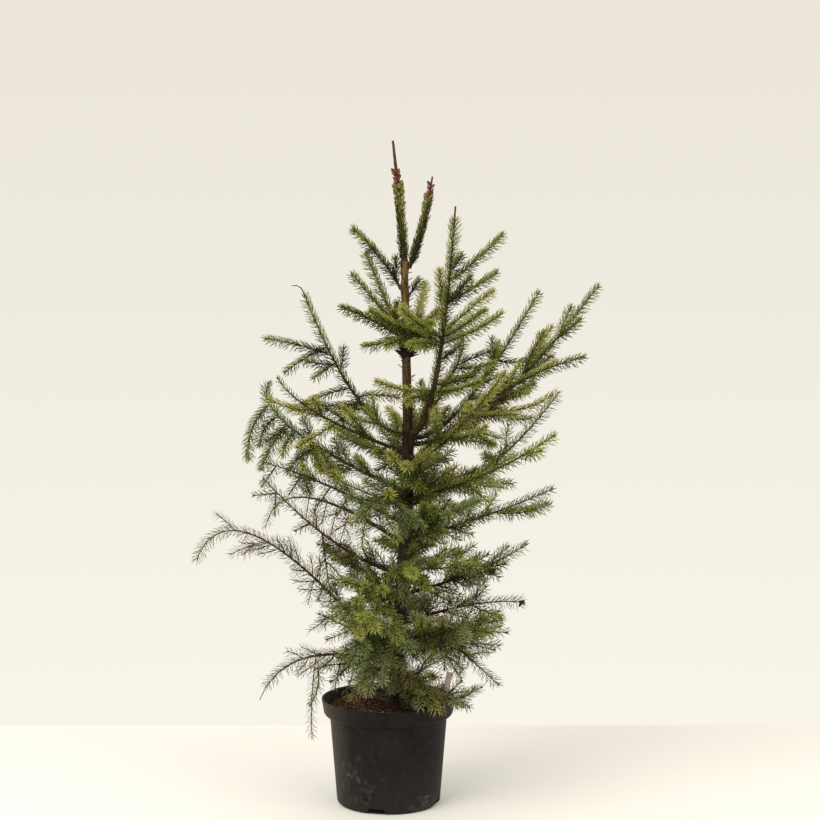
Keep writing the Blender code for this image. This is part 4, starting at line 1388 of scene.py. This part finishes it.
stems, shoots, fines = [], [], []
for number, limb in enumerate(limbs):
    stem = stem_of(limb)
    tail = BARE_ENDS.get(limb.name, BARE_TIPS.get(limb.name, 0.0))
    first = STEM_FIRST.get(limb.name, BARE_FIRST if limb.bare else CLOTHED_FIRST)
    span = limb.start + first, limb.path.length - tail
    stems.append(Twig(limb, limb.path, limb.side, STEM, limb.foot_core, *span))
    draws = random.Random(FINE_SEED + number)
    root = HANGING_WOOD if limb.name in HANGING else SHOOT_WOOD
    for path in paths_of(SHOOT_ROWS, limb) + seeded_shoots(limb, stem, SEED + number):
        shoots.append(small_twig(limb, path, SHOOT, root))
        if limb.name[0] in FORKED_TIERS:
            for twig in forked_twigs(path, draws):
                fines.append(small_twig(limb, twig, FINE, FINE_WOOD))
    for twig in inner_twigs(limb, stem, draws):
        fines.append(small_twig(limb, twig, FINE, FINE_WOOD))
for limb in map(limb_named.get, DROOPING_ROWS):
    for path in paths_of(DROOPING_ROWS, limb):
        fines.append(small_twig(limb, path, FINE, FINE_WOOD))
total = sum(twig.path.length for twig in stems + shoots + fines)
print(len(stems), "stems,", len(shoots), "shoots and", len(fines), "fine twigs,", end=" ")
print(round(total, 1), "m in all")

# %% [markdown]
# ## Bare twigs
#
# Three kinds of twig have no needles: the curled tip of one limb, a whorl of
# stubs high on the trunk, black with painted shade, and small pegs scattered
# over its upper part. They are paths too. Where a stub or a peg stands, and
# how long it is, comes from seeded draws: only the mass of them shows, so
# none needs a row of its own.

# %% Curled tip, stubs and pegs
CURL = (180, 18, 10, 5)  # azimuth, reach, rise and bow; mm and degrees
CURL_WOOD, STUB_WOOD, PEG_WOOD = 1.0 * MM, 2.2 * MM, 0.7 * MM
STUB_COUNT = 44
STUB_HEIGHTS = (662, 677)
STUB_REACH = (8, 16)
STUB_RISE = (0.2, 1.1)
STUB_TURN, STUB_STRAY = 137.5, 15
PEG_COUNT = 110
PEG_HEIGHTS = (470, 800)
PEG_REACH = (6, 10)
PEG_RISE = (0.2, 1.0)
PEG_SEED = 77


def trunk_twig(height, azimuth, reach, rise, root):
    """A bare twig that stands on the trunk."""
    centre, radius = trunk_at(np.array([height * MM]))
    foot = centre[0] + heading(azimuth) * radius[0] * ROOT_DEPTH
    return small_twig(None, row_path(foot, azimuth, reach, rise, 0.0), BARE, root)


peg_draws = random.Random(PEG_SEED)
curled = limb_named["c_left"]
curl = row_path(curled.path.at(curled.path.length - MM), *CURL)
pegs = [small_twig(curled, curl, BARE, CURL_WOOD)]
for number in range(STUB_COUNT):
    azimuth = number * STUB_TURN + peg_draws.uniform(-STUB_STRAY, STUB_STRAY)
    height, reach = peg_draws.uniform(*STUB_HEIGHTS), peg_draws.uniform(*STUB_REACH)
    rise = reach * peg_draws.uniform(*STUB_RISE)
    pegs.append(trunk_twig(height, azimuth, reach, rise, STUB_WOOD))
for number in range(PEG_COUNT):
    azimuth = peg_draws.uniform(0, 360)
    low, high = PEG_HEIGHTS
    height = low + (high - low) * (number + peg_draws.random()) / PEG_COUNT
    reach = peg_draws.uniform(*PEG_REACH)
    rise = reach * peg_draws.uniform(*PEG_RISE)
    pegs.append(trunk_twig(height, azimuth, reach, rise, PEG_WOOD))
print("1 curled tip,", STUB_COUNT, "stubs and", PEG_COUNT, "pegs")

# %% [markdown]
# ## Thin wood as joined tubes
#
# Hundreds of twigs a millimetre thick don't need an operator each. For every
# twig we compute rings of six corners along its path with arrays, connect
# them with four-sided faces, close both ends, and join everything into one
# mesh. The curled tip, the stubs and the pegs are a second mesh, darker: its
# near-black finish is painted shade for the stubs and pegs deep in the crown.

# %% Twig tubes
TWIG_SIDES = 6
RING_STEP = 9 * MM


def frames_along(path, side, places):
    """Centres and three directions along a path: along, across and above."""
    along = path.along(places)
    across = unit(side - along * (along @ side)[:, None])
    return path.at(places), along, across, np.cross(along, across)


def tube_corners(twig, rings):
    places = np.linspace(0, twig.path.length, rings)
    centres, _, across, above = frames_along(twig.path, twig.side, places)
    angles = np.arange(TWIG_SIDES) * math.tau / TWIG_SIDES
    sideways, upwards = np.cos(angles)[:, None], np.sin(angles)[:, None]
    spokes = across[:, None] * sideways + above[:, None] * upwards
    return (centres[:, None] + spokes * twig.wood(places)[:, None, None]).reshape(-1, 3)


def tube_faces(rings):
    ring, side = np.meshgrid(np.arange(rings - 1), np.arange(TWIG_SIDES), indexing="ij")
    low = ring * TWIG_SIDES + side
    beside = ring * TWIG_SIDES + (side + 1) % TWIG_SIDES
    walls = np.stack([low, beside, beside + TWIG_SIDES, low + TWIG_SIDES], axis=-1).reshape(-1, 4)
    foot = np.array([[3, 2, 1, 0], [5, 4, 3, 0]])
    tip = foot[:, ::-1] + (rings - 1) * TWIG_SIDES
    return np.concatenate([walls, foot, tip])


def joined_tubes(name, twigs):
    corners, faces, first = [], [], 0
    for twig in twigs:
        rings = max(3, round(twig.path.length / RING_STEP) + 1)
        corners.append(tube_corners(twig, rings))
        faces.append(tube_faces(rings) + first)
        first += len(corners[-1])
    mesh = bpy.data.meshes.new(name)
    mesh.from_pydata(np.concatenate(corners), [], np.concatenate(faces))
    mesh.shade_smooth()
    return mesh


twig_wood = wood_finish("twig_wood", color(48, 34, 20), color(100, 74, 42))
add_piece("twigs", joined_tubes("twigs", shoots + fines), twig_wood, "bark", *MASSES)
# near-black wood: painted shade on the stubs and pegs, which stand deep in the crown; the curled
# tip shares it
peg_wood = wood_finish("peg_wood", color(18, 14, 9), color(44, 32, 19))
add_piece("trunk_pegs", joined_tubes("trunk_pegs", pegs), peg_wood, "bark", "trunk")

# %% [markdown]
# ## One needle
#
# A Serbian spruce needle is flat, blunt and about 14 mm long. The template
# is a three-sided cone with one extra ring, widened so that the sides run
# parallel before they close to the point, and bent into a slight arch. Ten
# triangles are enough for something a millimetre wide.

# %% Needle template
NEEDLE_SHOULDER = 0.62
NEEDLE_FOOT_WIDTH = 0.6
NEEDLE_FLATNESS = 0.65
NEEDLE_ARCH = 0.8


def needle_shape():
    """A needle from 0 to 1 along Z, 1 wide along X, arched towards +Y."""
    build = bmesh.new()
    bmesh.ops.create_cone(build, cap_ends=True, segments=3, radius1=0.5, radius2=0.0, depth=1.0)
    bmesh.ops.translate(build, vec=(0, 0, 0.5), verts=build.verts)
    everything = build.verts[:] + build.edges[:] + build.faces[:]
    shoulder = (0, 0, NEEDLE_SHOULDER)
    bmesh.ops.bisect_plane(build, geom=everything, plane_co=shoulder, plane_no=(0, 0, 1))
    bmesh.ops.remove_doubles(build, verts=build.verts[:], dist=0.001)
    for corner in build.verts:
        share = corner.co.z
        widen = NEEDLE_FOOT_WIDTH if share < 0.1 else 1 / max(1 - share, 0.1)
        corner.co.x *= widen
        corner.co.y *= widen * NEEDLE_FLATNESS
        corner.co.y += NEEDLE_ARCH * share * (1 - share) * 4
    return template(build)


needle = needle_shape()
print("needle:", len(needle[0]), "corners,", len(needle[1]), "triangles")

# %% [markdown]
# ## How needles sit on a shoot
#
# Needles leave the wood in a spiral, each turned by the golden angle from
# the last. Those on top lie forward and close, those beneath stand out
# almost square and are fewer, so a shoot looks like a brush from above and a
# comb from below. The two leaders hold their needles tight against the wood,
# and the oldest hanging arms bear only a few thin ones.

# %% Needle habits
GOLDEN_ANGLE = math.radians(137.508)
# Angle to the wood, how much less on top, length and width, needles per metre
# and the share that is lost beneath.
HABITS = {
    "upper": (46, 18, 14.0 * MM, 1.65 * MM, 2600, 0.25),
    "open": (48, 16, 13.5 * MM, 1.6 * MM, 1900, 0.25),
    "full": (48, 8, 14.5 * MM, 1.65 * MM, 2400, 0.1),
    "short": (56, 14, 9.5 * MM, 1.4 * MM, 1500, 0.2),
    "common": (54, 16, 14.5 * MM, 1.6 * MM, 1550, 0.2),
    "low": (56, 12, 15.0 * MM, 1.3 * MM, 1400, 0.2),
    "sparse": (54, 12, 12.5 * MM, 1.3 * MM, 1300, 0.2),
    "leader": (27, 0, 13.5 * MM, 1.6 * MM, 4800, 0.0),
    "thin": (50, 8, 13.0 * MM, 0.95 * MM, 950, 0.3),
}
TIP_ANGLE_SHARE = 0.62
TIP_REACH = 7 * MM
STEM_HABITS = {"c_front": "short", "c_left_low": "short", "g_arch": "low", "h_left": "low"}
SPARSE = ("e_left", "d_left_low", "g_left", "h_left_low", "h_right_low")
LIMB_HABITS = dict.fromkeys(HANGING, "thin") | dict.fromkeys(SPARSE, "sparse")
LIMB_HABITS |= dict.fromkeys(SHOOTLESS, "leader") | {"d_left": "full", "c_rising": "upper"}
TIER_HABITS = dict.fromkeys("ab", "upper") | dict.fromkeys("c", "open")
TIER_HABITS |= dict.fromkeys("def", "common") | dict.fromkeys("gh", "low")
# painted light and shade: needles on top move towards the lighter outer tones, those beneath
# towards the darker inner ones
LIT_SHIFT = 0.4
TILT_SPREAD, WAY_SPREAD, LENGTH_SPREAD = 6, 0.06, 0.09
TIP_LENGTH, MORE_LENGTH = 0.7, 0.3


def habit_of(twig):
    name = twig.limb.name
    if name in STEM_HABITS and twig.order == STEM:
        return HABITS[STEM_HABITS[name]]
    return HABITS[LIMB_HABITS[name] if name in LIMB_HABITS else TIER_HABITS[name[0]]]


def needles_on(twig, draws):
    """Origins, axes and place along the twig of every needle on it, the place raised on top and
    lowered beneath as painted light and shade.
    """
    angle, lean, length, thickness, density, lost = habit_of(twig)
    span = twig.end - twig.start
    count = max(4, int(span * density))
    places = twig.start + (np.arange(count) + 0.5) / count * span
    roll = np.arange(count) * GOLDEN_ANGLE + draws.uniform(0, math.tau)
    upward = np.cos(roll)
    kept = draws.random(count) > lost * np.clip(-upward, 0, 1)
    places, roll, upward = places[kept], roll[kept], upward[kept]
    count = len(places)
    centres, along, across, above = frames_along(twig.path, twig.side, places)
    radial = above * upward[:, None] + across * np.sin(roll)[:, None]
    to_tip = np.clip((twig.end - places) / TIP_REACH, 0, 1)
    narrow = TIP_ANGLE_SHARE + (1 - TIP_ANGLE_SHARE) * to_tip
    tilt = np.radians(angle - lean * upward + draws.normal(0, TILT_SPREAD, count)) * narrow
    way = along * np.cos(tilt)[:, None] + radial * np.sin(tilt)[:, None]
    way = unit(way + draws.normal(0, WAY_SPREAD, (count, 3)))
    flat = unit(radial - way * np.sum(radial * way, axis=1)[:, None])
    width = np.cross(flat, way)
    grown = draws.normal(1.0, LENGTH_SPREAD, count)
    lengths = length * grown * (TIP_LENGTH + MORE_LENGTH * to_tip)
    origins = centres + radial * (twig.wood(places) * ROOT_DEPTH)[:, None]
    axes = np.stack([width * thickness, flat * thickness, way * lengths[:, None]], axis=1)
    # the last value is shifted by LIT_SHIFT as painted light and shade
    return origins, axes, (places - twig.start) / span + LIT_SHIFT * upward


print("needle habits:", ", ".join(HABITS))

# %% [markdown]
# ## Greens dealt out by spray
#
# A colour that belongs to a place, such as the yellow green of a young tuft,
# is a plain material of its own, and whole sprays are given to it. Each
# palette has a tone for the inner, the middle and the outer stretch of a
# shoot, since young needles at the tip are lighter; the darker inner tone is
# also painted shade, deep in the spray. Needles on top are dealt lighter
# tones and those beneath darker ones, as painted light and shade. Which
# palettes a tier uses follows the photograph: yellow green above, olive and
# grey green below, and some limbs have palettes of their own. In three tiers,
# a side shoot that points towards the camera and the front lamp takes the
# brightest one, as a painted highlight.

# %% Tones and palettes
TONES = {  # base colour, roughness and the slot that it belongs to
    "shade": (color(41, 43, 11), 0.6, "needles_dark"),
    "deep": (color(72, 77, 25), 0.55, "needles_dark"),
    "mid": (color(122, 127, 56), 0.5, "needles_mid"),
    "fresh": (color(160, 158, 78), 0.5, "needles_fresh"),
    "bright": (color(146, 158, 72), 0.5, "needles_fresh"),
    "blue": (color(120, 134, 82), 0.5, "needles_mid"),
    "olive": (color(120, 115, 68), 0.6, "needles_mid"),
    "soft": (color(138, 141, 94), 0.55, "needles_mid"),
    "dry": (color(116, 96, 64), 0.7, "needles_dark"),
}
PALETTES = {  # tones of the inner, middle and outer needles of a shoot
    # the inner tone is darker as painted shade deep in the spray; the outer one is the young
    # growth's own lighter colour
    "tight": "shade olive deep",
    "leader": "shade deep olive",
    "dark": "shade deep mid",
    "green": "deep mid mid",
    "yellow": "mid fresh fresh",
    "vivid": "mid bright bright",
    # painted highlight: the bright tones of side shoots that face the front lamp
    "star": "deep bright fresh",
    "blue": "deep blue blue",
    "soft": "deep soft soft",
    "olive": "shade olive olive",
    "dry": "dry olive olive",
}
TIER_PALETTES = {
    "t": "leader",
    "a": "dark",
    "b": "green dark yellow",
    "c": "green yellow dark vivid",
    "d": "green vivid dark yellow",
    "e": "green dark vivid blue",
    "f": "green blue dark vivid",
    "g": "olive green dark soft",
    "h": "olive dark soft soft",
}
LIMB_PALETTES = {
    "b_front": "yellow vivid",
    "b_left": "dark green",
    "b_left_high": "dark green",
    "c_front": "vivid yellow",
    "c_left": "green dark",
    "c_left_low": "dark green yellow",
    "d_left": "green blue blue vivid",
    "d_left_low": "tight dark",
    "d_front": "blue green blue",
    "e_left": "olive dark",
    "e_arch": "olive dark",
    "f_front_left": "vivid soft green",
    "g_arch": "dry olive",
    "g_front": "blue dark",
    "g_left": "olive tight",
    "h_front_right": "soft yellow",
    "h_left": "olive dry",
    "h_left_low": "dry dark",
}
print(len(TONES), "tones in", len(PALETTES), "palettes")

# %% Deal out the needles
# Painted highlight: in these tiers, side shoots that point towards the camera and the front lamp
# take the star palette.
STAR_TIERS = "cdf"
STAR_WAY = -0.7
INNER_END = 0.3
OUTER_START = 0.72
ZONE_SPREAD = 0.15
DEAL_SEED, PALETTE_SEED = 5000, 9000


def palette_of(twig, draws):
    """The tones of a twig's inner, middle and outer needles."""
    name = twig.limb.name
    palette = draws.choice(LIMB_PALETTES.get(name, TIER_PALETTES[name[0]]).split())
    # a shoot that faces the front lamp gets the painted highlight of the star palette
    at_camera = twig.order == SHOOT and twig.path.along(twig.path.length / 2)[1] < STAR_WAY
    return PALETTES["star" if at_camera and name[0] in STAR_TIERS else palette].split()


dealt = {tone: [] for tone in TONES}
for number, twig in enumerate(stems + shoots + fines):
    draws = np.random.default_rng(DEAL_SEED + number)
    tones = palette_of(twig, random.Random(PALETTE_SEED + number))
    origins, axes, share = needles_on(twig, draws)
    # share is the place along the twig plus the painted light and shade shift
    share = share + draws.normal(0, ZONE_SPREAD, len(share))
    zone = (share > INNER_END).astype(int) + (share > OUTER_START).astype(int)
    for place, tone in enumerate(tones):
        chosen = zone == place
        dealt[tone].append((origins[chosen], axes[chosen]))
print(sum(len(parts) for parts in dealt.values()), "stretches dealt out")

# %% Fallen needles and the pieces
LITTER_COUNT = 380
LITTER_SIZE = (0.9 * MM, 0.9 * MM, 13 * MM)
LITTER_VARIETY = (0.8, 1.1)
LITTER_TILT, LITTER_LIFT = 0.12, 1.2 * MM
NEEDLE_LIMIT = 19000
NEEDLE_GLOSS = 0.18

litter_sizes = np.array(LITTER_SIZE) * litter_draws.uniform(*LITTER_VARIETY, (LITTER_COUNT, 1))
lying = random_axes(litter_draws, LITTER_COUNT, litter_sizes[:, ::-1], LITTER_TILT)[:, ::-1]
fallen = scattered(litter_draws, LITTER_COUNT, LITTER_LIFT)
dealt["dry"].append((fallen, lying))
for tone, (base, roughness, slot) in TONES.items():
    origins, axes = (np.concatenate(parts) for parts in zip(*dealt[tone]))
    green = Finish(f"needle_{tone}", base, roughness, NEEDLE_GLOSS).material
    chunks = math.ceil(len(origins) / NEEDLE_LIMIT)
    for chunk in range(chunks):
        name = f"needles_{tone}_{chunk + 1}"
        mesh = stamped(name, needle, origins[chunk::chunks], axes[chunk::chunks])
        add_piece(name, mesh, green, slot, *MASSES)
print(sum(len(part[0]) for parts in dealt.values() for part in parts), "needles")

# %% [markdown]
# ## Buds
#
# Shoots end in a small brown bud, which makes their tips look blunt. Only the
# hanging arms have none, and the two leaders carry others: a cluster of
# swollen red brown buds under the bare tip, and pale green ones below that
# have started to open. A bud is a ball of twenty faces, stretched and pinched
# towards its tip. The same ball, nearly black, makes the dead curled bits:
# each lot sits on the twig's tip that is nearest to its place.

# %% Buds
BUD_WIDTH = 3.1 * MM
BUD_LENGTH = 5.2 * MM
BUD_ROWS = (  # limb, first and last place, count, length, width and kind; millimetres
    ("top_leader", 114, 132, 14, 9.0, 5.5, "red"),
    ("top_leader", 97, 112, 19, 9.5, 6.8, "green"),
    ("top_leader", 82, 96, 7, 9.0, 6.2, "green"),
    ("top_right", 120, 138, 9, 9.0, 5.0, "red"),
    ("top_right", 108, 122, 9, 8.0, 6.0, "green"),
    ("top_right", 50, 104, 6, 8.0, 3.6, "red"),
)
BUD_SEED = 23
BUD_STAND = {"red": 0.0, "green": 1.2 * MM}
BUD_FINISHES = {
    "brown": (color(58, 42, 22), color(104, 80, 42)),
    "dead": (color(16, 12, 9), color(46, 33, 22)),
    "red": (color(70, 36, 26), color(132, 80, 58)),
    "green": (color(62, 64, 20), color(140, 136, 68)),
}


def bud_shape():
    """A bud from 0 to 1 along Z and 1 wide, pinched towards its tip."""
    build = bmesh.new()
    bmesh.ops.create_icosphere(build, subdivisions=1, radius=0.5)
    for corner in build.verts:
        corner.co.z += 0.5
        pinch = 1 - 0.55 * max(corner.co.z - 0.5, 0)
        corner.co.x *= pinch
        corner.co.y *= pinch
    return template(build)


def bud_axes(way, length, width):
    side = unit(np.cross(way, (0.31, 0.87, 0.37)))
    return np.stack([side * width, np.cross(way, side) * width, way * length])


print("buds of four kinds:", ", ".join(BUD_FINISHES))

# %% Brown buds and the leaders' buds
buds = {kind: [] for kind in BUD_FINISHES}
for twig in stems + shoots + fines:
    if twig.limb.name not in SHOOTLESS + HANGING:
        way = twig.path.along(twig.end)
        axes = bud_axes(way, BUD_LENGTH, BUD_WIDTH)
        buds["brown"].append((twig.path.at(twig.end) - way * MM, axes))

bud_draws = np.random.default_rng(BUD_SEED)
for name, first, last, count, length, width, kind in BUD_ROWS:
    limb = limb_named[name]
    for number, place in enumerate(np.linspace(first, last, count) * MM):
        turn = number * GOLDEN_ANGLE + bud_draws.uniform(-0.4, 0.4)
        centre, along, across, above = frames_along(limb.path, limb.side, np.array([place]))
        radial = above[0] * math.cos(turn) + across[0] * math.sin(turn)
        way = unit(along[0] + radial * bud_draws.uniform(0.5, 1.3))
        grown = bud_draws.uniform(0.6, 1.2) * MM
        foot = centre[0] + radial * (wood_radius(limb, place) * ROOT_DEPTH + BUD_STAND[kind])
        buds[kind].append((foot, bud_axes(way, length * grown, width * grown)))
print({kind: len(found) for kind, found in buds.items()})

# %% Dead bits and the pieces
DEAD_ROWS = (  # place near a twig's tip, count, length and width; millimetres
    ((155, -40, 351), 10, 11, 5.5),
    ((190, -83, 313), 8, 11, 4.5),
    ((165, -40, 279), 6, 9, 4),
    ((117, -70, 165), 5, 9, 3.5),
    ((67, -90, 221), 5, 8, 4.5),
    ((13, -100, 240), 5, 8, 4.5),
    ((-70, -40, 345), 3, 7, 4),
    ((-51, -10, 848), 2, 8, 6.5),
)
DEAD_WEIGHTS = (1.0, 0.4, 1.0)
DEAD_SINK = 3 * MM
DEAD_DROOP = (0, 0, -0.8)

tips = np.array([twig.path.at(twig.path.length) for twig in stems + shoots + fines])
for spot, count, length, width in DEAD_ROWS:
    apart = np.linalg.norm((tips - np.array(spot) * MM) * DEAD_WEIGHTS, axis=1)
    tip = tips[np.argmin(apart)]
    print("dead lumps at", [round(value / MM) for value in tip])
    for way in unit(bud_draws.normal(0, 1, (count, 3)) + DEAD_DROOP):
        grown = bud_draws.uniform(0.7, 1.2) * MM
        axes = bud_axes(way, length * grown, width * grown)
        buds["dead"].append((tip - way * DEAD_SINK, axes))

bud = bud_shape()
for kind, (dark, light) in BUD_FINISHES.items():
    origins, axes = (np.array(part) for part in zip(*buds[kind]))
    mesh = stamped(f"buds_{kind}", bud, origins, axes)
    finish = wood_finish(f"bud_{kind}", dark, light)
    add_piece(f"buds_{kind}", mesh, finish, "bark", *MASSES)

# %% [markdown]
# ## Sizes
#
# The dressed plant has to keep inside the solid model's box, apart from the
# centimetre or so by which needles stand proud. Both boxes are printed as
# plain numbers, so that they can be compared.

# %% Print both boxes
dressed_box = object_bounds()
boxes = {
    "solid": [list(corner) for corner in solid_box],
    "dressed": [list(corner) for corner in dressed_box],
}
print("solid", boxes["solid"])
print("dressed", boxes["dressed"])
